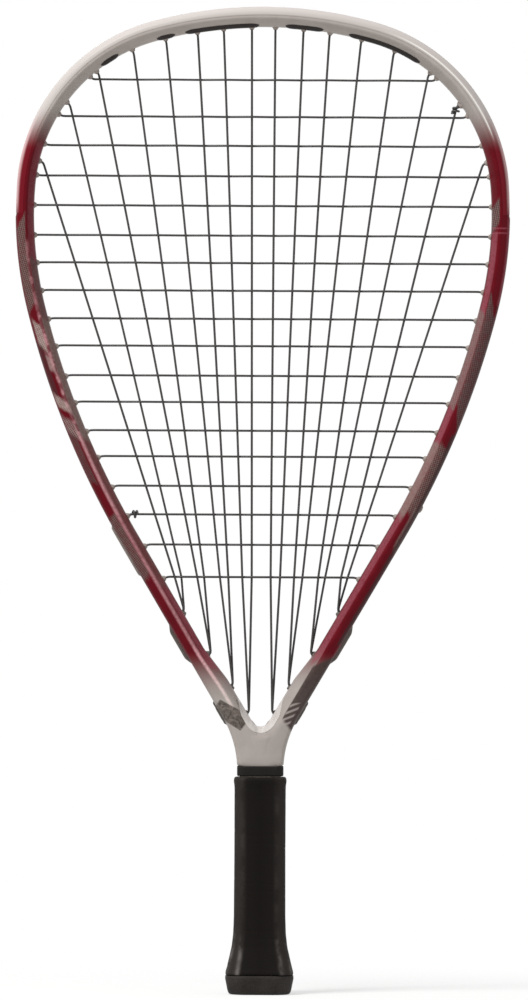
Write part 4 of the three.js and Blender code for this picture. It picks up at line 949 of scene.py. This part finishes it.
INNER_STRIPS = [(-91.4, -81.7), (-60.3, -49.9), (-44.2, -2.5), (12.3, 33.8), (48.0, 88.0)]


def inner_strip(from_x, to_x):
    """A low pad on the inner face and slope of the tube, whose height runs out at both ends."""
    ends = [math.copysign(float(s_at_inner_x(abs(x))), x) for x in (from_x, to_x)]
    s = stations(*ends, 1.0)
    t = np.minimum(s - s[0], s[-1] - s) / 3.5
    full = np.sqrt(np.clip(t, 0.004, 1))
    w, d = width(s), half_depth(s)
    half = [(w - 1.0 - 0.7 * full, d - 5.0 + 1.4 * full), (w - 0.5 + 0.85 * full, d - 6.6 + 0.5 * full)]
    return around(s, half, [0.3, 0.5])


piece("crown_inner_strips", [inner_strip(a, b) for a, b in INNER_STRIPS], STRIP)

# String: one path from the knot on a main to the knot on a cross


def run_points(low, high, v, depth):
    """Points along the channel from one place to another, about 3 mm apart."""
    inside = stations(low, high, 3)[1:-1] if abs(high - low) > 4 else []
    return [place(s, depth, v) for s in [low, *inside, high]]


def leave(h, way):
    """Points from a mouth out through its hole and round into the channel."""
    return [h["mouth"], h["outer"] + along(h, CORNER), place(h["s"] + way * CORNER, h["depth"], h["v"])]


def enter(h, way):
    """Points from the channel in through a hole to its mouth."""
    return leave(h, -way)[::-1]


def loop_between(a, b):
    """Points from one mouth to another by way of the channel."""
    way = 1 if b["s"] > a["s"] else -1
    middle = run_points(a["s"] + way * CORNER, b["s"] - way * CORNER, a["v"], a["depth"])[1:-1]
    return leave(a, way) + middle + enter(b, way)


MOUTH_Z = [float(h["mouth"][2]) for h in RIGHT["cross"]]
LEAST_PITCH, SHARED_PITCH = 3, 9.2
KNOT_START, KNOT_TAIL, KNOT_STEPS = 1.2, 2.4, 16


def main_x(side, i, z):
    """A main runs straight to its bend at the last cross, and straight on to its low mouth."""
    last = side["cross"][-1]["mouth"]
    top, bend, low = side["top"][i]["mouth"], last * [MAIN_BEND_SHARES[i], 1, 1], side["low"][i]["mouth"]
    a, b = (top, bend) if z > bend[2] else (bend, low)
    return a[0] + (b[0] - a[0]) * (a[2] - z) / (a[2] - b[2])


def crossing(side, i, j):
    """Where a main and a cross meet, and how far each bends to its own side there."""
    z = MOUTH_Z[j]
    x = main_x(side, i, z)
    end = RIGHT["cross"][j]["mouth"][0]
    if z >= side["top"][i]["mouth"][2] or abs(x) >= end:
        return None
    pitches = [abs(main_x(side, k, z) - x) for k in (i - 1, i + 1) if 0 <= k < MAINS]
    number = MAINS + i if side["side"] > 0 else MAINS - 1 - i
    over = 1 if (number + j) % 2 == 0 else -1
    if i % 2 == 1 and pitches[0] < LEAST_PITCH:
        return x, z, 0.0, over * CLEAR
    least = min(*pitches, end - abs(x))
    if least > SHARED_PITCH:
        return x, z, None, -over * CLEAR * least / math.sqrt(least ** 2 - 4 * CLEAR ** 2)
    wide = max(least, LEAST_PITCH)
    swing = over * 0.5 * CLEAR * wide / math.sqrt(wide ** 2 - CLEAR ** 2)
    return x, z, swing, -swing


def main_down(side, i):
    """Points of one main from the top down, without those between straight stretches."""
    found = [c for c in (crossing(side, i, j) for j in range(len(CROSS_Z))) if c]
    bent = [c[2] is not None for c in found]
    kept = [c for k, c in enumerate(found) if any(bent[max(k - 1, 0):k + 2])]
    return [np.array([x, m or 0.0, z]) for x, z, m, _ in kept]


def cross_right(j):
    """Points of one cross from left to right."""
    found = [c for side in (RIGHT, LEFT) for c in (crossing(side, i, j) for i in range(MAINS)) if c]
    return [np.array([x, c, z]) for x, z, _, c in sorted(found, key=lambda c: c[0])]


def knot(start, toward, tail):
    """A wrap of one and a half turns round a string, with an even lead, and a short tail."""
    axis = unit(toward - start)
    offset = tail["mouth"] - start
    sideways = unit(offset - axis * offset.dot(axis))
    other = np.cross(axis, sideways)
    k = np.arange(1.5 * KNOT_STEPS + 1)
    turn = 2 * np.pi * k / KNOT_STEPS
    radius = CLEAR * 0.98
    circle = np.cos(turn)[:, None] * sideways + np.sin(turn)[:, None] * other
    wraps = start + axis * (KNOT_START + CLEAR / KNOT_STEPS * k)[:, None] + radius * circle
    return [*wraps, wraps[-1] - sideways * KNOT_TAIL]


def mains_of(side):
    """Points of one side's mains from the outermost to the middle, down one and up the next."""
    points = []
    for i in range(MAINS - 1, 0, -2):
        points += main_down(side, i) + loop_between(side["low"][i], side["low"][i - 1]) + main_down(side, i - 1)[::-1]
        if i > 1:
            points += loop_between(side["top"][i - 1], side["top"][i - 2])
    return points


def mains_to_crosses():
    """Points from the last main on the left to the first cross, changing over in the channel."""
    start, to = LEFT["top"][MAINS - 1], LEFT["cross"][0]
    past = LEFT["cross"][1]["s"] + CORNER * 2
    before = LEFT["top"][KNOT_MAIN - 1]["s"] - CORNER * 3
    low = run_points(start["s"] + CORNER, past, start["v"], start["depth"])[1:]
    high = run_points(before, to["s"] - CORNER, to["v"], to["depth"])[:-1]
    return leave(start, 1) + low + high + enter(to, 1)


def back_to_knot():
    """Points from the last cross on the left back up to the hole of the tail."""
    start = LEFT["cross"][-1]
    middle = run_points(start["s"] + CORNER * 5, CROSS_TAIL["s"] - CORNER, CROSS_TAIL["v"], start["depth"])[:-1]
    return leave(start, 1) + middle + enter(CROSS_TAIL, 1)


def string_path():
    """Points of the whole string: a knot, the mains from right to left, the crosses downwards, a knot."""
    first = knot(RIGHT["top"][KNOT_MAIN - 1]["mouth"], main_down(RIGHT, KNOT_MAIN - 1)[0], MAIN_TAIL)
    points = first[::-1] + loop_between(MAIN_TAIL, RIGHT["top"][MAINS - 1]) + mains_of(RIGHT)
    points += loop_between(RIGHT["top"][0], LEFT["top"][0]) + mains_of(LEFT)[::-1] + mains_to_crosses()
    for j in range(len(CROSS_Z)):
        rightward = j % 2 == 0
        points += cross_right(j) if rightward else cross_right(j)[::-1]
        side = RIGHT if rightward else LEFT
        if j + 1 < len(CROSS_Z):
            points += loop_between(side["cross"][j], side["cross"][j + 1])
    points += back_to_knot()
    points += knot(LEFT["cross"][KNOT_CROSS - 1]["mouth"], cross_right(KNOT_CROSS - 1)[0], CROSS_TAIL)
    return np.array(points)


def eased(path, reach):
    """A path whose corners are parabolas, each of up to a reach along the stretches beside it."""
    corners = path[1:-1]
    curve = parabolas(corners, path[:-2] - corners, path[2:] - corners, reach, 0.42, 4)
    return np.concatenate([path[:1], curve.reshape(-1, 3), path[-1:]])


def units(rows):
    """The directions of rows of vectors."""
    return rows / np.linalg.norm(rows, axis=1, keepdims=True)


def cord_tube(path, radius, sides):
    """A round tube along a path. Each ring starts from a frame square to the path, and is then turned by
    the running sum of the angles between neighbouring frames, so that the rings don't twist."""
    ahead = np.diff(path, axis=0)
    lengths = np.linalg.norm(ahead, axis=1)
    ahead = ahead / lengths[:, None]
    tangent = units(np.concatenate([ahead[:1], ahead[:-1] + ahead[1:], ahead[-1:]]))
    first = units(np.cross(tangent, np.eye(3)[np.abs(tangent).argmin(1)]))
    second = np.cross(tangent, first)
    change = np.arctan2((first[:-1] * second[1:]).sum(1), (first[:-1] * first[1:]).sum(1))
    held = np.concatenate([[0], np.cumsum(change)])
    turn = held[:, None] + 2 * np.pi * np.arange(sides)[None, :] / sides
    out = np.cos(turn)[..., None] * first[:, None] + np.sin(turn)[..., None] * second[:, None]
    rings = path[:, None] + radius * out
    length = np.concatenate([[0], np.cumsum(lengths)])
    uv = np.stack(np.broadcast_arrays(length[:, None] * MM, np.arange(sides + 1)[None, :] / sides), -1)
    return rings, uv


piece("string", [cord_tube(eased(string_path(), 2.0), STRING_RADIUS, 8)], GUT, ["string_bed"], sharp=80)

# Handle

ROOM_X, ROOM_Y = 13.35, 12.0
SEAM_LEAD, SEAM_DEPTH, SEAM_LOW, SEAM_HIGH = 27, 0.2, 13, 117
COLLAR_X, COLLAR_Y = 12.1, 10.15


def handle_rings(rows, bevel_share, radius=2.5):
    """Rounded octagons, one for each height and distance outside the pallets' room."""
    z, out = np.array(rows, float).T
    hx, hy = ROOM_X + out, ROOM_Y + out
    return octagons(z, hx, hy, bevel_share * np.minimum(hx, hy), radius)


def octagons(z, hx, hy, bevel, radius):
    """Octagons with two half sizes and a bevel at each height, whose corners are rounded."""
    quarter = [(hx, hy - bevel), (hx - bevel, hy)]
    turned = [(-x, y) for x, y in quarter[::-1]]
    full = quarter + turned + [(-x, -y) for x, y in quarter] + [(-x, -y) for x, y in turned]
    flat = soften(np.stack([np.stack([x, y], -1) for x, y in full], 1), radius, 5)
    points = np.concatenate([flat, np.broadcast_to(z[:, None, None], (*flat.shape[:2], 1))], -1)
    turn = np.arange(flat.shape[1] + 1) / flat.shape[1]
    uv = np.stack(np.broadcast_arrays(turn[None, :], z[:, None] * MM), -1)
    return points, uv


def smooth_rows(knots, count):
    """Heights and distances along a curve that rounds off the way between the given pairs."""
    knots = np.array(knots, float)
    t = np.concatenate([[0], np.cumsum(np.linalg.norm(np.diff(knots, axis=0), axis=1))])
    fine = np.linspace(0, t[-1], count)
    kernel = np.array([1, 2, 3, 2, 1]) / 9
    rounded = []
    for k in (0, 1):
        values = np.interp(fine, t, knots[:, k])
        padded = np.concatenate([2 * values[0] - values[2:0:-1], values, 2 * values[-1] - values[-2:-4:-1]])
        rounded.append(np.convolve(padded, kernel, "valid"))
    return np.stack(rounded, 1)


def joined(*parts):
    """Points and uv of several sets of rings, one after the other."""
    return np.concatenate([p for p, _ in parts]), np.concatenate([w for _, w in parts]), True


def grip_body():
    """The sleeve: its outside from the flare over the cap to the rolled top, and its inside back down.
    A strip wound round it leaves a faint slanted seam, one turn every 27 mm and 0.2 mm deep."""
    outside = handle_rings(smooth_rows([
        (11.15, 4.4), (11.1, 5.5), (11.7, 6.0), (15, 5.1), (21, 3.7), (27, 2.4), (34, 1.6), (44, 1.25), (80, 1.1),
        (116, 1.15), (118.4, 1.25), (120, 1.55), (121.6, 1.6), (122.6, 1.2), (123, 0.6), (122.9, 0.15)], 240), 0.38)
    points = outside[0]
    x, y, z = np.moveaxis(points, -1, 0)
    phase = (z / SEAM_LEAD + np.arctan2(y, x) / (2 * np.pi)) % 1
    seam = np.exp(-(np.minimum(phase, 1 - phase) / 0.025) ** 2) * (z > SEAM_LOW) * (z < SEAM_HIGH)
    outward = points * [1, 1, 0] / np.hypot(x, y)[..., None]
    sunk = points - SEAM_DEPTH * outward * seam[..., None]
    return joined((sunk, outside[1]), handle_rings([(122, 0.1), (28, 0.1), (26.4, 1.2), (19, 2.7), (12, 4.1)], 0.38))


def cap_body():
    """The butt cap: up the wall of the cord's slot, over the floor inside, up to the skirt's end, down its
    outside under the grip, round the lip and back over the flat foot to the slot."""
    def slot(z, spread):
        """The slot's outline at a height, spread outwards."""
        return octagons(*[np.array([v], float) for v in (z, 5 + spread, 2.4 + spread, 1.2 + spread)], 0.8)

    side = handle_rings(smooth_rows([
        (11, 3.6), (11, 5.2), (10.5, 5.9), (9.3, 6.05), (5.5, 5.3), (2.6, 4.75), (1.2, 4.3), (0.35, 3.6), (0, 2.6),
        (0, 1.4)], 60), 0.4, 3.5)
    room = handle_rings([(5, -1.5), (5.2, -0.1), (25.8, 0), (26, 0.3), (25.9, 0.75), (19, 2.2)], 0.38)
    return joined(slot(0.6, 0), slot(4.7, 0), slot(5, 0.3), room, side, slot(0, 0.6), slot(0.1, 0.2))


def collar_body():
    """The rubber band over the grip's end: a short sleeve with rolled rims."""
    z, out = smooth_rows([(123.5, 0.2), (123.4, 0.6), (123.9, 1.05), (128.8, 1.05), (129.3, 0.6), (129.2, 0.2)], 30).T
    outer = octagons(z, COLLAR_X + out, COLLAR_Y + out, np.full(30, 3.3), 1.5)
    inner = octagons(np.array([128.6, 124.1]), np.full(2, COLLAR_X), np.full(2, COLLAR_Y), np.full(2, 3.0), 1.5)
    return joined(outer, inner)


piece("grip_sleeve", [grip_body()], LEATHER, ["grip"])
piece("collar_band", [collar_body()], RUBBER, ["grip_collar"])
piece("butt_cap_moulding", [cap_body()], RUBBER, ["butt_cap"])
for name in ("pallet_front", "pallet_back"):
    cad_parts[name].data.materials.clear()
    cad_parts[name].data.materials.append(FOAM)

# Floor, backdrop and lights


def stage_finish():
    """Matt white paper. To the camera and in gloss it runs into the white backdrop from 0.04 m to 0.4 m
    away from the racket's foot, and it keeps the racket's shadow."""
    material, tree, surface = finish_of("white_paper", roughness=0.9, colour="#f2f2f0", specular=0.1)
    paper = surface.outputs[0]
    far = add(tree, "VectorMath", (add(tree, "TexCoord")["Object"],), operation="LENGTH")["Value"]
    runs_out = add(tree, "MapRange", (far, 0.04, 0.4, 0.6, 1.0), interpolation_type="SMOOTHSTEP")[0]
    both = add(tree, "MixShader", (runs_out, paper, add(tree, "Emission", ("#ffffff", 1.0))[0]))[0]
    seen = add(tree, "MixShader", (seen_directly(tree), paper, both))[0]
    fill(tree, tree.nodes["Material Output"].inputs[0], seen)
    return material


def seen_directly(tree):
    """1 for rays from the camera, in gloss and through clear things."""
    rays = add(tree, "LightPath")
    direct = add(tree, "Math", (rays["Is Camera Ray"], rays["Is Glossy Ray"]), operation="MAXIMUM")[0]
    return add(tree, "Math", (direct, rays["Is Transmission Ray"]), operation="MAXIMUM")[0]


floor_mesh = bpy.data.meshes.new("floor")
FLOOR_HALF = 6
floor_mesh.from_pydata([(FLOOR_HALF * x, FLOOR_HALF * y, 0) for x, y in ((-1, -1), (1, -1), (1, 1), (-1, 1))], [],
                       [(0, 1, 2, 3)])
floor_mesh.materials.append(stage_finish())
floor = put("floor", floor_mesh)

world = bpy.data.worlds.new("white_room")
world.use_nodes = True
bpy.context.scene.world = world
sky = world.node_tree
back = sky.nodes["Background"]
fill(sky, back.inputs["Strength"], add(sky, "MapRange", {0: seen_directly(sky), 3: 0.45, 4: 1.0})[0])
fill(sky, back.inputs["Color"], "#ffffff")


def soft_lamp(name, place_at, aim, size, power):
    """A square area lamp that faces a point."""
    data = bpy.data.lights.new(name, "AREA")
    data.size = size
    data.energy = power
    lamp = put(name, data)
    lamp.location = place_at
    x, y, z = np.subtract(aim, place_at)
    yaw = math.atan2(x, -y)
    pitch = math.atan2(math.hypot(x, y), -z)
    lamp.rotation_euler = (pitch, 0, yaw + math.pi)


soft_lamp("key", (-1.0, -1.05, 2.3), (0, 0, 0.35), 0.8, 61)
soft_lamp("fill", (1.2, -1.6, 0.7), (0, 0, 0.3), 1.2, 2)
